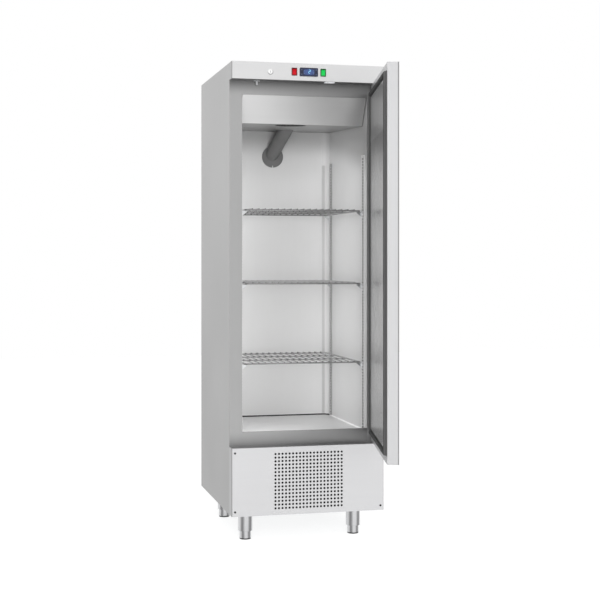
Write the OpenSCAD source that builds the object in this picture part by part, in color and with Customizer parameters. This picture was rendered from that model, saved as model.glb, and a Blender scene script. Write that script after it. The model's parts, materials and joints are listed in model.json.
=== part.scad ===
// Upright refrigerated cabinet with one door, on four adjustable legs.
// X runs to the right, Y to the rear, Z up. The origin is on the floor,
// in the middle of the four feet.

/* [Cabinet] */
// Width over the side panels
cab_w = 600; // [560:5:660]
// Depth from the front of the panels to the back
cab_d = 692; // [660:4:760]
// Height from the floor to the top
cab_h = 1826; // [1740:2:1900]
// Height of the legs
leg_h = 100; // [85:1:130]
// Distance that the control panel and the lower panel stand in front of the frame
front_proud = 54; // [52:1:64]
// Height of the control panel
control_h = 66; // [64:1:70]
// Height of the lower panel
lower_h = 259; // [250:1:290]
// Thickness of each insulated side wall
wall_t = 50; // [40:1:58]
// Thickness of the insulated rear wall
back_t = 62; // [50:1:74]
// Thickness of the insulated roof
roof_t = 60; // [50:1:70]
// Height of the frame below the opening
sill_h = 54; // [48:0.5:60]
// Height of the frame above the opening
head_h = 52.5; // [46:0.5:60]
// Drop from the sill to the compartment floor
floor_drop = 14; // [6:1:20]
// Depth of the frame's return into the opening
jamb_d = 12; // [8:1:20]
// Depth of the lintel behind the frame
lintel_d = 51; // [44:1:60]
// Radius of the upright rear corners of the liner
cove_r = 31; // [15:1:40]
// Thickness of the steel sheets
sheet_t = 1; // [0.8:0.1:1.2]
// Width of the rear return of the side panels
side_return = 18; // [12:1:26]

/* [Lower panel] */
// Columns of holes
grille_cols = 20; // [16:1:22]
// Rows of holes
grille_rows = 16; // [12:1:17]
// Pitch of the holes
grille_pitch = 13.8; // [12:0.2:14]
// Diameter of each hole
grille_hole_d = 7; // [5:0.5:9]
// Distance of the panel screws from the side edges
screw_in = 12; // [8:0.5:16]
// Distance of the panel screws from the top and bottom edges
screw_edge = 18; // [12:0.5:26]
// Diameter of the screw heads
screw_head_d = 8; // [6:0.5:10]
// Thickness of the base tray
tray_t = 1.5; // [1:0.1:2.5]
// Height of the base tray's upturned edges
tray_lip = 20; // [14:1:30]

/* [Door] */
// Angle at which the door stands open
door_open_deg = 78; // [0:1:105]
// Gap from the door's edges to the cabinet's sides
door_side_gap = 1; // [0.5:0.5:3]
// Gap under the door
door_foot_gap = 7.4; // [5:0.1:8]
// Gap over the door
door_head_gap = 5.4; // [3:0.1:6]
// Depth of the door's outer pan
pan_d = 41.6; // [36:0.2:42]
// Radius of the pan's upright front corners
pan_corner_r = 3; // [1.5:0.5:6]
// Width of the pan's return beside the gasket
rim_x = 16; // [12:0.5:20]
// Height of the pan's return over and under the gasket
rim_z = 27.6; // [22:0.2:32]
// Width of the gasket
seal_w = 24; // [18:1:28]
// Height that the inner panel stands out of the pan
inner_rise = 6; // [3:0.5:10]
// Gap between the closed gasket and the frame
seat_gap = 0.3; // [0.2:0.1:1]
// Distance of the hinge pins from the cabinet's right side
pivot_in = 16.6; // [14:0.2:18]
// Distance of the hinge pins behind the door's front
pivot_y = 16.2; // [14:0.2:18]
// Diameter of the hinge pins
pin_d = 8; // [6:0.5:10]
// Length of each hinge pin inside the door
pin_l = 14; // [10:1:20]
// Thickness of the hinge plates
hinge_t = 4; // [3:0.1:4.5]
// Width of the grip recess
grip_w = 22; // [18:1:30]
// Depth of the grip recess
grip_d = 14; // [8:1:20]
// Distance of the grip recess from the door's free edge
grip_in = 30; // [20:1:50]
// Distance of the grip recess from the door's top and bottom
grip_end = 60; // [40:5:200]

/* [Controls] */
// Height of the controls above the middle of the control panel
controls_up = 0; // [-3:0.5:3]
// Width of the controller's bezel
bezel_w = 72; // [68:1:80]
// Height of the controller's bezel
bezel_h = 33; // [30:1:38]
// Thickness of the bezel in front of the panel
bezel_t = 3; // [2:0.5:4]
// Depth of the controller behind the panel
controller_d = 46; // [35:1:49]
// Width of the display window
window_w = 44; // [36:1:46]
// Height of the display window
window_h = 24; // [18:1:26]
// Width of each key
key_w = 6; // [4:0.5:7]
// Height of each key
key_h = 5; // [3.5:0.5:7]
// Travel of each key
key_travel = 0.6; // [0.3:0.1:1]
// Distance of the switches from the middle of the display
switch_x = 57; // [54:0.5:70]
// Width of each switch bezel
switch_w = 22; // [20:0.5:26]
// Height of each switch bezel
switch_h = 30; // [28:0.5:34]
// Tilt of each rocker from its middle
rocker_deg = 7; // [4:0.5:8]
// Distance of the lock from the middle of the panel
lock_x = 151; // [130:1:180]
// Diameter of the lock's flange
lock_d = 22; // [20:0.5:26]
// Reach of the lock's cam below its axis
cam_reach = 39.5; // [37:0.5:41]
// Distance of the door sensor from the middle of the panel
sensor_x = 194; // [185:1:220]
// Length of the door sensor's stem
sensor_l = 16; // [8:1:18]
// Distance of the lamp lens from the middle of the panel
lens_x = 89; // [80:1:200]
// Width of the lamp lens
lens_w = 38; // [30:1:50]
// Depth of the lamp lens
lens_d = 28; // [20:1:32]

/* [Shelving] */
// Pitch of the slots in the uprights
slot_pitch = 11.9; // [11.5:0.1:12]
// Height of each slot
slot_h = 5.5; // [4:0.5:6.5]
// Width of the uprights
upright_w = 22; // [18:1:28]
// Distance that the uprights stand off the wall
upright_d = 8; // [6:0.5:11]
// Thickness of the uprights
upright_t = 1.2; // [1:0.1:2]
// Height of the uprights' lower ends above the floor of the compartment
upright_up = 6; // [2:1:12]
// Length of the uprights
upright_l = 1083; // [1060:1:1095]
// Distance from the front of the cabinet to the front uprights
upright_front = 97; // [90:1:110]
// Distance from the rear wall to the rear uprights
upright_rear = 52; // [48:1:60]
// Slot that carries the bottom shelf
bottom_slot = 22; // [16:1:28]
// Slot that carries the middle shelf
middle_slot = 48; // [42:1:54]
// Slot that carries the top shelf
top_slot = 72; // [66:1:76]
// Gap from each side of a shelf to the uprights
shelf_side_gap = 9; // [4:1:14]
// Distance from the front of the cabinet to the front rod of a shelf
shelf_front = 78; // [76:1:86]
// Distance from the rear wall to the rear rod of a shelf
shelf_rear = 40; // [37:1:46]
// Wires along a shelf
shelf_wires = 19; // [13:1:23]
// Diameter of the shelf wires
wire_d = 4.2; // [3:0.2:5]
// Diameter of the shelf rods
rod_d = 6; // [5:0.5:8]
// Travel of a shelf towards the front
shelf_travel = 90; // [40:5:95]

/* [Evaporator] */
// Height of the cover's front below the head of the opening
cover_h = 104; // [94:1:110]
// Distance that the cover's lower edge stands behind its upper edge
cover_lean = 52; // [40:1:60]
// Gap from the cover to each side wall
cover_gap = 3; // [2:0.5:6]
// Rise of the cover's underside towards the rear wall
cover_rise = 24; // [15:1:25]
// Distance from the front of the cabinet to the evaporator fan's axis
evap_fan_y = 184; // [182:1:220]
// Distance of the evaporator fan's axis to the left of the middle
evap_fan_x = 29; // [0:1:40]
// Diameter of the evaporator fan
evap_fan_d = 116; // [110:2:124]
// Diameter of the air duct
duct_d = 61; // [56:1:66]
// Diameter of the duct's wall flange
duct_flange_d = 92; // [86:1:100]
// Height of the duct's wall flange below the cover's rear edge
duct_drop = 109; // [104:1:116]
// Distance from the rear wall to the upper end of the duct
duct_reach = 120; // [110:2:140]
// Distance of the duct's upper end to the right of its flange
duct_side = 28; // [0:1:36]
// Height of the duct's axis above the middle of its flange
duct_up = 16; // [8:1:18]
// Width of the notch in the duct's flange
duct_notch_w = 5; // [3:0.5:8]

/* [Machine compartment] */
// Width of the condenser's fins
cond_w = 290; // [240:10:320]
// Height of the condenser
cond_h = 210; // [180:5:214]
// Depth of the condenser
cond_d = 44; // [40:2:60]
// Diameter of the condenser fan
cond_fan_d = 190; // [150:5:196]
// Diameter of the compressor's shell
comp_d = 150; // [130:2:160]
// Height of the compressor's shell
comp_h = 170; // [150:2:180]
// Distance of the compressor's axis to the left of the middle
comp_x = 120; // [100:2:140]
// Distance from the back of the cabinet to the compressor's axis
comp_rear = 190; // [170:2:210]

/* [Legs] */
// Distance of the left feet from the left side
foot_left = 67; // [50:1:90]
// Distance of the right feet from the right side
foot_right = 101; // [60:1:110]
// Distance of the front feet from the front
foot_front = 78; // [65:1:100]
// Distance of the rear feet from the back
foot_rear = 179; // [60:1:190]
// Outer diameter of the sleeves
sleeve_d = 55.6; // [52:0.2:62]
// Diameter of the adjustable feet
foot_d = 45; // [38:0.5:46]
// Height of the feet below the sleeves
foot_show = 32; // [20:1:36]
// Travel of the feet out of the sleeves
foot_travel = 40; // [10:1:45]
// Thickness of the soles
sole_t = 4.5; // [3:0.5:8]

/* [Hidden] */
$fn = 48;

// Colours
case_steel = [0.72, 0.72, 0.72];
front_steel = [0.87, 0.87, 0.87];
frame_steel = [0.62, 0.62, 0.62];
liner_steel = [0.82, 0.82, 0.82];
zinc_steel = [0.66, 0.68, 0.69];
polished = [0.78, 0.79, 0.80];
foam_cream = [0.93, 0.87, 0.62];
dark_plastic = [0.10, 0.12, 0.20];
black_plastic = [0.08, 0.08, 0.08];
grey_plastic = [0.45, 0.46, 0.47];
pale_plastic = [0.90, 0.91, 0.92];
gasket_grey = [0.30, 0.30, 0.31];
copper = [0.78, 0.47, 0.30];
fin_alu = [0.80, 0.81, 0.82];

// Levels and planes of the cabinet, measured from its front, its middle and the floor
half_w = cab_w / 2;
roof_z = cab_h - sheet_t;
lower_top = leg_h + lower_h;
control_z = cab_h - control_h;
sill_z = lower_top + sill_h;
head_z = control_z - head_h;
floor_z = sill_z - floor_drop;
ceiling_z = cab_h - roof_t;
inner_half = half_w - wall_t;
wall_y = cab_d - back_t;
liner_y = front_proud + jamb_d + sheet_t;
lintel_y = front_proud + lintel_d;
rear_y = cab_d - 2 * sheet_t;
eps = 0.5;

// Feet
foot_x = [-half_w + foot_left, half_w - foot_right];
foot_y = [foot_front, cab_d - foot_rear];
foot_mid = [(foot_x[0] + foot_x[1]) / 2, (foot_y[0] + foot_y[1]) / 2, 0];
foot_fit = 1;
sleeve_cap = 3;
foot_spare = 8;

// Lower panel, its screws and posts
grille_mid = leg_h + lower_h / 2;
post_w = 24;
screw_d = 4;
screw_l = 12;
screw_head_t = 2;
thread_fit = 0.05;
screw_z = [leg_h + screw_edge, lower_top - screw_edge];

// Rear grille
louvre_w = 130;
louvre_h = 7;
louvre_gap = 20;
louvre_rows = 8;
louvre_cols = 3;
gland_x = half_w - 95;
gland_z = leg_h + 60;
gland_d = 18;

// Door, drawn closed
door_half = half_w - door_side_gap;
door_z = [lower_top + door_foot_gap, control_z - door_head_gap];
pivot = [half_w - pivot_in, pivot_y, 0];
seal_out = [door_half - rim_x, rim_z];
seal_y = front_proud - seat_gap;
seal_base = 4;
seal_lip = 4;
pin_fit = 0.05;
bush_wall = 4;
bush_gap = 0.1;
bush_flange = door_foot_gap - hinge_t - bush_gap;
bush_l = pin_l + 2;
hinge_half = 12;
hinge_back_t = 3;
hinge_back_h = 26;

// Controls
controls_z = control_z + control_h / 2 + controls_up;
bezel_r = 3;
key_fit = 0.3;
key_proud = 0.6;
key_x = (bezel_w + window_w) / 4;
key_z = window_h / 2 - key_h / 2 - 0.5;
key_root = 1;
window_t = 1.4;
switch_lip = 2;
switch_rim = 2.5;
switch_body_d = 22;
rocker_pivot_y = 5;
rocker_fit = 0.3;
rocker_end_fit = 1.4;
rocker_pin_d = 2.6;
switch_wall = 0.8;
rocker_half = [
    switch_w / 2 - switch_rim - switch_wall - rocker_fit,
    switch_h / 2 - switch_rim - switch_wall - rocker_end_fit
];
lock_pos = [-lock_x, 0, controls_z - 3.5];
lock_plug_d = 13;
lock_nut_t = 5;
lock_body_l = 22;
cam_y = 23;
cam_t = 2;
cam_w = 12;
cam_slot = [cam_reach + cam_w, cam_t + 6];
sensor_size = [24, 12, 2];
sensor_stem_d = 9;
sensor_y = front_proud - sensor_size[1] / 2 - 1;
lens_hang = 2.4;
lens_y = 24;

// Shelving
upright_z = floor_z + upright_up;
slot_first = 8;
slot_count = floor((upright_l - 2 * slot_first) / slot_pitch) + 1;
slot_reach = upright_w * 0.6;
upright_face = inner_half - upright_d;
upright_y = [upright_front, wall_y - upright_rear];
shelf_half = upright_face - shelf_side_gap;
shelf_rods = 4;
shelf_y = [shelf_front, wall_y - shelf_rear];
shelf_drop = 3.8;
shelf_seat = 0.3;
weld = 0.4;
shelf_bend = 10;
cross_less = 0.8;
cross_up = 0.25;
clip_w = 12;
clip_t = 1.5;
clip_h = 22;
clip_in = 21;
clip_hook = 3;

// Evaporator cover, fan and coil
cover_top = [front_proud + 6, head_z];
cover_low = [cover_top[0] + cover_lean, head_z - cover_h];
cover_back = [wall_y, cover_low[1] + cover_rise];
cover_half = inner_half - cover_gap;
cover_flange = 14;
fan_slit = 4;
shaft_d = 6;
shaft_in = 12;
shaft_fit = 0.08;
blade_t = 1.6;
blade_in = 1;
cover_pitch = atan(cover_rise / (wall_y - cover_low[0]));
guard_d = 2.5;
cover_path = [
    cover_top + [cover_flange, 0], cover_top, cover_low, cover_back, cover_back + [0, cover_flange]
];
fan_clear = 4;
evap_hole_d = evap_fan_d + 2 * fan_clear;
evap_fan_h = 22;
evap_fan_pos = [-evap_fan_x, evap_fan_y, cover_low[1] + 12];
evap_coil_size = [180, 112];
evap_coil_y = wall_y - evap_coil_size[0] - 40;
evap_rows = 4;
evap_cols = 3;
evap_coil_z = cover_back[1] + 18;
evap_coil_half = inner_half - 70;
evap_fin_pitch = 12;
duct_low = [0, wall_y, cover_back[1] - duct_drop];
duct_start = duct_low + [0, 0, duct_up];
duct_high = [duct_side, wall_y - duct_reach, cover_back[1] - duct_reach * tan(cover_pitch)];
duct_run = duct_high - duct_start;
duct_notch_h = 8;
duct_wall = 2.5;
duct_flange_t = 6;
drain_d = 16;
drain_x = 90;
drain_y = (wall_y + rear_y) / 2;
drain_z = cover_back[1] + 12;
tube_d = 9.5;
tube_end = 6;
tube_in = 22;
suction_x = -comp_x;
suction_z = evap_coil_z + evap_coil_size[1] / evap_rows / 2;
braze = 0.05;

// Machine compartment
bay_z = leg_h + tray_t;
cond_y = front_proud + 12;
cond_z = bay_z + 18;
cond_mid = cond_z + cond_h / 2;
cond_rows = 8;
cond_cols = 2;
cond_fin_pitch = 8;
fin_t = 0.5;
fin_fit = 0.05;
shroud_t = 1.2;
shroud_d = 28;
fan_hub_d = 46;
cond_fan_t = 24;
cond_fan_y = cond_y + cond_d + shroud_d;
cond_motor_d = 80;
cond_motor_l = 52;
bracket_w = 40;
bracket_l = 30;
bracket_t = 3;
bracket_y = 20;
comp_pos = [-comp_x, cab_d - comp_rear, bay_z];
comp_foot = [86, 62];
comp_port_l = 8;
comp_port_d = 13;
comp_in_z = 70;
comp_out_z = 90;
mount_h = 20;
drier_l = 90;
drier_d = 26;
drier_cone = 16;
drier_pos = [-cond_w / 2 - 40, cond_fan_y + 100, bay_z + 70];
dish_size = [150, 190, 42];
dish_pos = [15, rear_y - 200, bay_z];
box_size = [90, 70, 90];
box_pos = [gland_x - 30, rear_y - tray_t - box_size[1], bay_z];

// Puts a piece drawn from the cabinet's front and middle into the part's own frame
module at_feet() translate(-foot_mid) children();

// Turns a door piece from closed to the angle at which the door stands open
module at_door() translate(pivot) rotate([0, 0, door_open_deg]) translate(-pivot) children();

// Box between two opposite corners
module block(a, b) translate(a) cube(b - a);

// Plate that faces the front: a flat outline in X and Z, from y back to y + t
module facing_y(y, t) translate([0, y + t, 0]) rotate([90, 0, 0]) linear_extrude(t) children();

// Plate that faces the side: a flat outline in Y and Z, from x to x + t
module facing_x(x, t) translate([x, 0, 0]) rotate([90, 0, 90]) linear_extrude(t) children();

// Rod along X, Y or Z from a point
module rod_x(p, l, d) translate(p) rotate([0, 90, 0]) cylinder(h = l, d = d);
module rod_y(p, l, d) translate(p) rotate([-90, 0, 0]) cylinder(h = l, d = d);
module rod_z(p, l, d) translate(p) cylinder(h = l, d = d);

// Rectangle with round corners, centred
module round_rect(w, h, r) {
    square([w - 2 * r, h], center = true);
    square([w, h - 2 * r], center = true);
    for (x = [-1, 1], y = [-1, 1]) translate([x * (w / 2 - r), y * (h / 2 - r)]) circle(r = r);
}

// Repeats a piece on both sides of the middle
module both_sides() for (s = [0, 1]) mirror([s, 0, 0]) children();

// Outline of a bent sheet along a path, with its thickness to the left of the path
function unit(v) = v / norm(v);
function left_of(v) = [-v[1], v[0]];
function path_dir(p, i) = unit(p[i + 1] - p[i]);
function path_miter(p, i, t) = let (
    n = len(p),
    a = left_of(path_dir(p, max(i - 1, 0))),
    b = left_of(path_dir(p, min(i, n - 2))),
    m = unit(a + b)) p[i] + m * t / (m * a);
function bent_sheet(p, t) = concat(p, [for (i = [len(p) - 1:-1:0]) path_miter(p, i, t)]);

// Pipe along a path of straight runs at right angles, with bends of radius bend
module pipe(path, d, bend) {
    last = len(path) - 1;
    for (i = [0:last - 1]) {
        run = unit(path[i + 1] - path[i]);
        start = path[i] + (i == 0 ? 0 : bend) * run;
        stop = path[i + 1] - (i == last - 1 ? 0 : bend) * run;
        side = abs(run[2]) > 0.5 ? [1, 0, 0] : [0, 0, 1];
        frame_at(start, side, cross(run, side)) cylinder(h = norm(stop - start), d = d);
    }
    for (i = [1:last - 1]) {
        a = unit(path[i] - path[i - 1]);
        b = unit(path[i + 1] - path[i]);
        frame_at(path[i] - bend * a + bend * b, -b, a)
            rotate_extrude(angle = 90) translate([bend, 0]) circle(d = d);
    }
}

// Moves a piece so that its X and Y axes lie along x and y, at p
module frame_at(p, x, y) {
    z = cross(x, y);
    multmatrix([
        [x[0], y[0], z[0], p[0]],
        [x[1], y[1], z[1], p[1]],
        [x[2], y[2], z[2], p[2]],
        [0, 0, 0, 1]
    ]) children();
}

// Casing

module side_sheet() {
    block([-half_w, front_proud, leg_h], [-half_w + sheet_t, cab_d, roof_z]);
    block([-half_w + sheet_t, cab_d - sheet_t, leg_h], [-half_w + side_return, cab_d, roof_z]);
}

module left_side_panel() color(case_steel) at_feet() side_sheet();

module right_side_panel() color(case_steel) at_feet() mirror([1, 0, 0]) side_sheet();

module top_panel() color(case_steel) at_feet()
    block([-half_w, front_proud, roof_z], [half_w, cab_d, cab_h]);

module rear_panel() color(zinc_steel) at_feet() {
    block([-half_w + sheet_t, rear_y, lower_top - sheet_t], [half_w - sheet_t, rear_y + sheet_t, roof_z]);
    difference() {
        block([-half_w + sheet_t, front_proud, lower_top - sheet_t], [half_w - sheet_t, rear_y, lower_top]);
        rod_z([drain_x, drain_y, lower_top - 2 * sheet_t], 3 * sheet_t, drain_d);
        rod_z([suction_x, drain_y, lower_top - 2 * sheet_t], 3 * sheet_t, tube_d);
    }
}

module rear_grille() color(zinc_steel) at_feet() facing_y(rear_y, sheet_t) difference() {
    translate([-half_w + sheet_t, leg_h]) square([cab_w - 2 * sheet_t, lower_h - sheet_t]);
    for (i = [0:louvre_rows - 1], j = [0:louvre_cols - 1])
        translate([(j - (louvre_cols - 1) / 2) * (louvre_w + louvre_gap), gland_z + 40 + i * louvre_gap])
            round_rect(louvre_w, louvre_h, louvre_h / 2 - 0.1);
    translate([gland_x, gland_z]) circle(d = gland_d);
}

module front_frame() color(frame_steel) at_feet() difference() {
    union() {
        block([-half_w + sheet_t, front_proud, lower_top],
            [half_w - sheet_t, front_proud + sheet_t, roof_z]);
        block([-inner_half - sheet_t, front_proud, sill_z - sheet_t],
            [inner_half + sheet_t, front_proud + jamb_d, head_z + sheet_t]);
    }
    block([-inner_half, front_proud - eps, sill_z], [inner_half, liner_y, head_z]);
}

// Space inside the liner, grown by g on every side
module liner_space(g) intersection() {
    translate([0, 0, floor_z - g]) linear_extrude(ceiling_z - floor_z + 2 * g) {
        side = inner_half + g;
        back = wall_y + g;
        r = cove_r + g;
        translate([-side, liner_y - g]) square([2 * side, back - r - liner_y + g]);
        translate([-side + r, liner_y - g]) square([2 * side - 2 * r, back - liner_y + g]);
        for (s = [-1, 1]) translate([s * (side - r), back - r]) circle(r = r);
    }
    facing_x(-inner_half - 2 * g - eps, 2 * inner_half + 4 * g + 2 * eps) polygon([
        [liner_y - g, floor_z - g], [wall_y + g, floor_z - g], [wall_y + g, ceiling_z + g],
        [lintel_y - g, ceiling_z + g], [lintel_y - g, head_z + g], [liner_y - g, head_z + g]
    ]);
}

module inner_liner() color(liner_steel) at_feet() difference() {
    liner_space(sheet_t);
    liner_space(0);
    block([-inner_half, liner_y - sheet_t - eps, sill_z], [inner_half, liner_y + eps, head_z]);
    rod_y([drain_x, wall_y - eps, drain_z], 2 * sheet_t + eps, drain_d);
    rod_y([suction_x, wall_y - eps, suction_z], 2 * sheet_t + eps, tube_d);
}

module foam_insulation() color(foam_cream) at_feet() difference() {
    block([-half_w + sheet_t, front_proud + sheet_t, lower_top], [half_w - sheet_t, rear_y, roof_z]);
    liner_space(sheet_t);
    block([-inner_half - sheet_t, front_proud, sill_z - sheet_t],
        [inner_half + sheet_t, liner_y - sheet_t, head_z + sheet_t]);
    pipe(drain_path(), drain_d, drain_d);
    pipe(suction_path(), tube_d, 2 * tube_d);
}

module base_tray() color(zinc_steel) at_feet() difference() {
    union() {
        block([-half_w + sheet_t, sheet_t, leg_h], [half_w - sheet_t, rear_y, bay_z]);
        block([-half_w + sheet_t, rear_y - tray_t, leg_h], [half_w - sheet_t, rear_y, leg_h + tray_lip]);
        both_sides() {
            block([-half_w + sheet_t, sheet_t, leg_h],
                [-half_w + sheet_t + tray_t, rear_y, leg_h + tray_lip]);
            block([-half_w + sheet_t, sheet_t, leg_h],
                [-half_w + sheet_t + tray_t, front_proud, lower_top - sheet_t]);
            block([-half_w + sheet_t, sheet_t, leg_h],
                [-half_w + sheet_t + post_w, sheet_t + tray_t, lower_top - sheet_t]);
        }
    }
    for (x = [-1, 1], z = screw_z)
        rod_y([x * (half_w - screw_in), 0, z], sheet_t + 2 * tray_t, screw_d + 2 * thread_fit);
}

module lower_panel() color(front_steel) at_feet() {
    facing_y(0, sheet_t) difference() {
        translate([-half_w, leg_h]) square([cab_w, lower_h]);
        for (i = [0:grille_cols - 1], j = [0:grille_rows - 1])
            translate([(i - (grille_cols - 1) / 2) * grille_pitch,
                grille_mid + (j - (grille_rows - 1) / 2) * grille_pitch]) circle(d = grille_hole_d);
        for (x = [-1, 1], z = screw_z) translate([x * (half_w - screw_in), z])
            circle(d = screw_d + 2 * thread_fit);
    }
    block([-half_w, 0, lower_top - sheet_t], [half_w, front_proud, lower_top]);
    both_sides() block([-half_w, 0, leg_h], [-half_w + sheet_t, front_proud, lower_top]);
}

module panel_screws() color(black_plastic) at_feet()
    for (x = [-1, 1], z = screw_z) {
        rod_y([x * (half_w - screw_in), -screw_head_t, z], screw_head_t, screw_head_d);
        rod_y([x * (half_w - screw_in), 0, z], screw_l, screw_d);
    }

// Controls

module control_panel() color(front_steel) at_feet() difference() {
    union() {
        facing_y(0, sheet_t) difference() {
            translate([-half_w, control_z]) square([cab_w, control_h]);
            translate([0, controls_z]) square([bezel_w - 4, bezel_h - 4], center = true);
            for (s = [-1, 1]) translate([s * switch_x, controls_z])
                square([switch_w - switch_rim, switch_h - switch_rim], center = true);
            translate([lock_pos[0], lock_pos[2]]) circle(d = lock_d - 3);
        }
        block([-half_w, 0, cab_h - sheet_t], [half_w, front_proud, cab_h]);
        block([-half_w, 0, control_z], [half_w, front_proud, control_z + sheet_t]);
        both_sides() block([-half_w, 0, control_z], [-half_w + sheet_t, front_proud, cab_h]);
    }
    rod_z([pivot[0], pivot[1], control_z - eps], sheet_t + 2 * eps, pin_d + 1);
    block([lock_pos[0] - cam_w, cam_y - 3, control_z - eps],
        [lock_pos[0] - cam_w + cam_slot[0], cam_y + cam_slot[1] - 3, control_z + sheet_t + eps]);
    rod_z([-sensor_x, sensor_y, control_z - eps], sheet_t + 2 * eps, sensor_stem_d);
    block([lens_x - lens_w / 2 + 2, lens_y - lens_d / 2 + 2, control_z - eps],
        [lens_x + lens_w / 2 - 2, lens_y + lens_d / 2 - 2, control_z + sheet_t + eps]);
}

module key_spots(grow) for (x = [-1, 1], z = [-1, 1])
    translate([x * key_x, z * key_z]) square([key_w + grow, key_h + grow], center = true);

module controller_case() color(dark_plastic) at_feet() translate([0, 0, controls_z]) difference() {
    union() {
        facing_y(-bezel_t, bezel_t) round_rect(bezel_w, bezel_h, bezel_r);
        facing_y(0, controller_d) square([bezel_w - 4.4, bezel_h - 4.4], center = true);
    }
    facing_y(-bezel_t - eps, window_t + eps) square([window_w, window_h], center = true);
    facing_y(-bezel_t - eps, bezel_t + key_root + key_travel + key_fit + eps) key_spots(2 * key_fit);
}

module display_window() color([0.16, 0.32, 0.75]) at_feet() translate([0, 0, controls_z])
    facing_y(-bezel_t, window_t) square([window_w, window_h], center = true);

module key(x, z) color(grey_plastic) at_feet() translate([x * key_x, 0, controls_z + z * key_z]) {
    facing_y(-bezel_t - key_proud, bezel_t + key_proud + key_root) square([key_w, key_h], center = true);
}
module upper_left_key() key(-1, 1);
module lower_left_key() key(-1, -1);
module upper_right_key() key(1, 1);
module lower_right_key() key(1, -1);

module switch_housings() color(black_plastic) at_feet() for (s = [-1, 1])
    translate([s * switch_x, 0, controls_z]) difference() {
        union() {
            facing_y(-switch_lip, switch_lip) round_rect(switch_w, switch_h, 2);
            facing_y(0, switch_body_d)
                square([switch_w - switch_rim - 0.4, switch_h - switch_rim - 0.4], center = true);
        }
        facing_y(-switch_lip - eps, switch_lip + rocker_pivot_y + 6 + eps)
            square(2 * (rocker_half + [rocker_fit, rocker_end_fit]), center = true);
        rod_x([-switch_w / 2 + switch_rim, rocker_pivot_y, 0], switch_w - 2 * switch_rim,
            rocker_pin_d + 2 * thread_fit);
    }

// Rocker on its pin, tilted: a face hollowed to the middle and a nose behind the pin
module rocker(s) at_feet() translate([s * switch_x, rocker_pivot_y, controls_z])
    rotate([rocker_deg, 0, 0]) {
        z = rocker_half[1];
        facing_x(-rocker_half[0], 2 * rocker_half[0]) polygon([
            [-rocker_pivot_y - 1, 0], [-rocker_pivot_y - 3.2, z], [-rocker_pivot_y, z], [1, 3],
            [3, 3], [3, -3], [1, -3], [-rocker_pivot_y, -z], [-rocker_pivot_y - 3.2, -z]
        ]);
        rod_x([-rocker_half[0] - switch_wall, 0, 0], 2 * (rocker_half[0] + switch_wall), rocker_pin_d);
    }
module red_rocker() color([0.88, 0.12, 0.18]) rocker(-1);
module green_rocker() color([0.16, 0.80, 0.36]) rocker(1);

module lock_body() color(polished) at_feet() translate(lock_pos) difference() {
    union() {
        rod_y([0, -switch_lip, 0], switch_lip, lock_d);
        rod_y([0, 0, 0], lock_body_l, lock_d - 3.2);
        translate([0, sheet_t + lock_nut_t, 0]) rotate([90, 0, 0])
            cylinder(h = lock_nut_t, d = lock_d + 6, $fn = 6);
    }
    rod_y([0, -switch_lip - eps, 0], lock_body_l + switch_lip + 2 * eps, lock_plug_d + 2 * thread_fit);
}

module lock_barrel() color(polished) at_feet() translate(lock_pos) difference() {
    rod_y([0, -switch_lip - 0.6, 0], cam_y + switch_lip + 0.6, lock_plug_d);
    block([-0.8, -switch_lip - 2, -3.6], [0.8, 10, 3.6]);
}

// The cam points to the right when the lock is open, and turns down into the door's top
module lock_cam() color(zinc_steel) at_feet() translate(lock_pos) {
    facing_y(cam_y, cam_t) {
        circle(d = cam_w + 4);
        translate([0, -cam_w / 2]) square([cam_reach, cam_w]);
    }
    rod_y([0, cam_y + cam_t, 0], 3, 9);
}

module door_sensor() color(pale_plastic) at_feet() translate([-sensor_x, sensor_y, control_z]) {
    block([-sensor_size[0] / 2, -sensor_size[1] / 2, -sensor_size[2]],
        [sensor_size[0] / 2, sensor_size[1] / 2, 0]);
    rod_z([0, 0, -sensor_l], sensor_l + 14, sensor_stem_d - 2 * thread_fit);
}

module lamp_lens() color(pale_plastic) at_feet() translate([lens_x, lens_y, control_z]) {
    translate([0, 0, -lens_hang]) linear_extrude(lens_hang) round_rect(lens_w, lens_d, 5);
    block([-lens_w / 2 + 2.2, -lens_d / 2 + 2.2, 0], [lens_w / 2 - 2.2, lens_d / 2 - 2.2, 12]);
}

// Door, drawn closed and then turned open

module pan_space(g) translate([0, 0, door_z[0] + g]) linear_extrude(door_z[1] - door_z[0] - 2 * g) {
    side = door_half - g;
    r = pan_corner_r - g;
    translate([-side, g + r]) square([2 * side, pan_d - 2 * g - r]);
    translate([-side + r, g]) square([2 * side - 2 * r, pan_d - 2 * g]);
    for (s = [-1, 1]) translate([s * (side - r), g + r]) circle(r = r);
}

module grip_space(g) block(
    [-door_half + grip_in - g, -eps, door_z[0] + grip_end - g],
    [-door_half + grip_in + grip_w + g, grip_d + g, door_z[1] - grip_end + g]);

// Block behind the pan's return, inset from the seal's outer edge by i
module seal_block(i, y0, y1) block(
    [-seal_out[0] + i, y0, door_z[0] + seal_out[1] + i],
    [seal_out[0] - i, y1, door_z[1] - seal_out[1] - i]);

module door_bores() {
    rod_z([pivot[0], pivot[1], door_z[0] - eps], bush_l + eps, pin_d + 2 * bush_wall);
    rod_z([pivot[0], pivot[1], door_z[1] - bush_l], bush_l + eps, pin_d + 2 * bush_wall);
    block([lock_pos[0] - cam_w, cam_y - 3, door_z[1] - cam_w],
        [lock_pos[0] - cam_w + cam_slot[0], cam_y + cam_slot[1] - 3, door_z[1] + eps]);
}

module door_skin() color(front_steel) at_feet() at_door() difference() {
    pan_space(0);
    difference() {
        pan_space(sheet_t);
        grip_space(sheet_t);
    }
    seal_block(0, pan_d - 2 * sheet_t, pan_d + eps);
    grip_space(0);
    door_bores();
}

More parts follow.
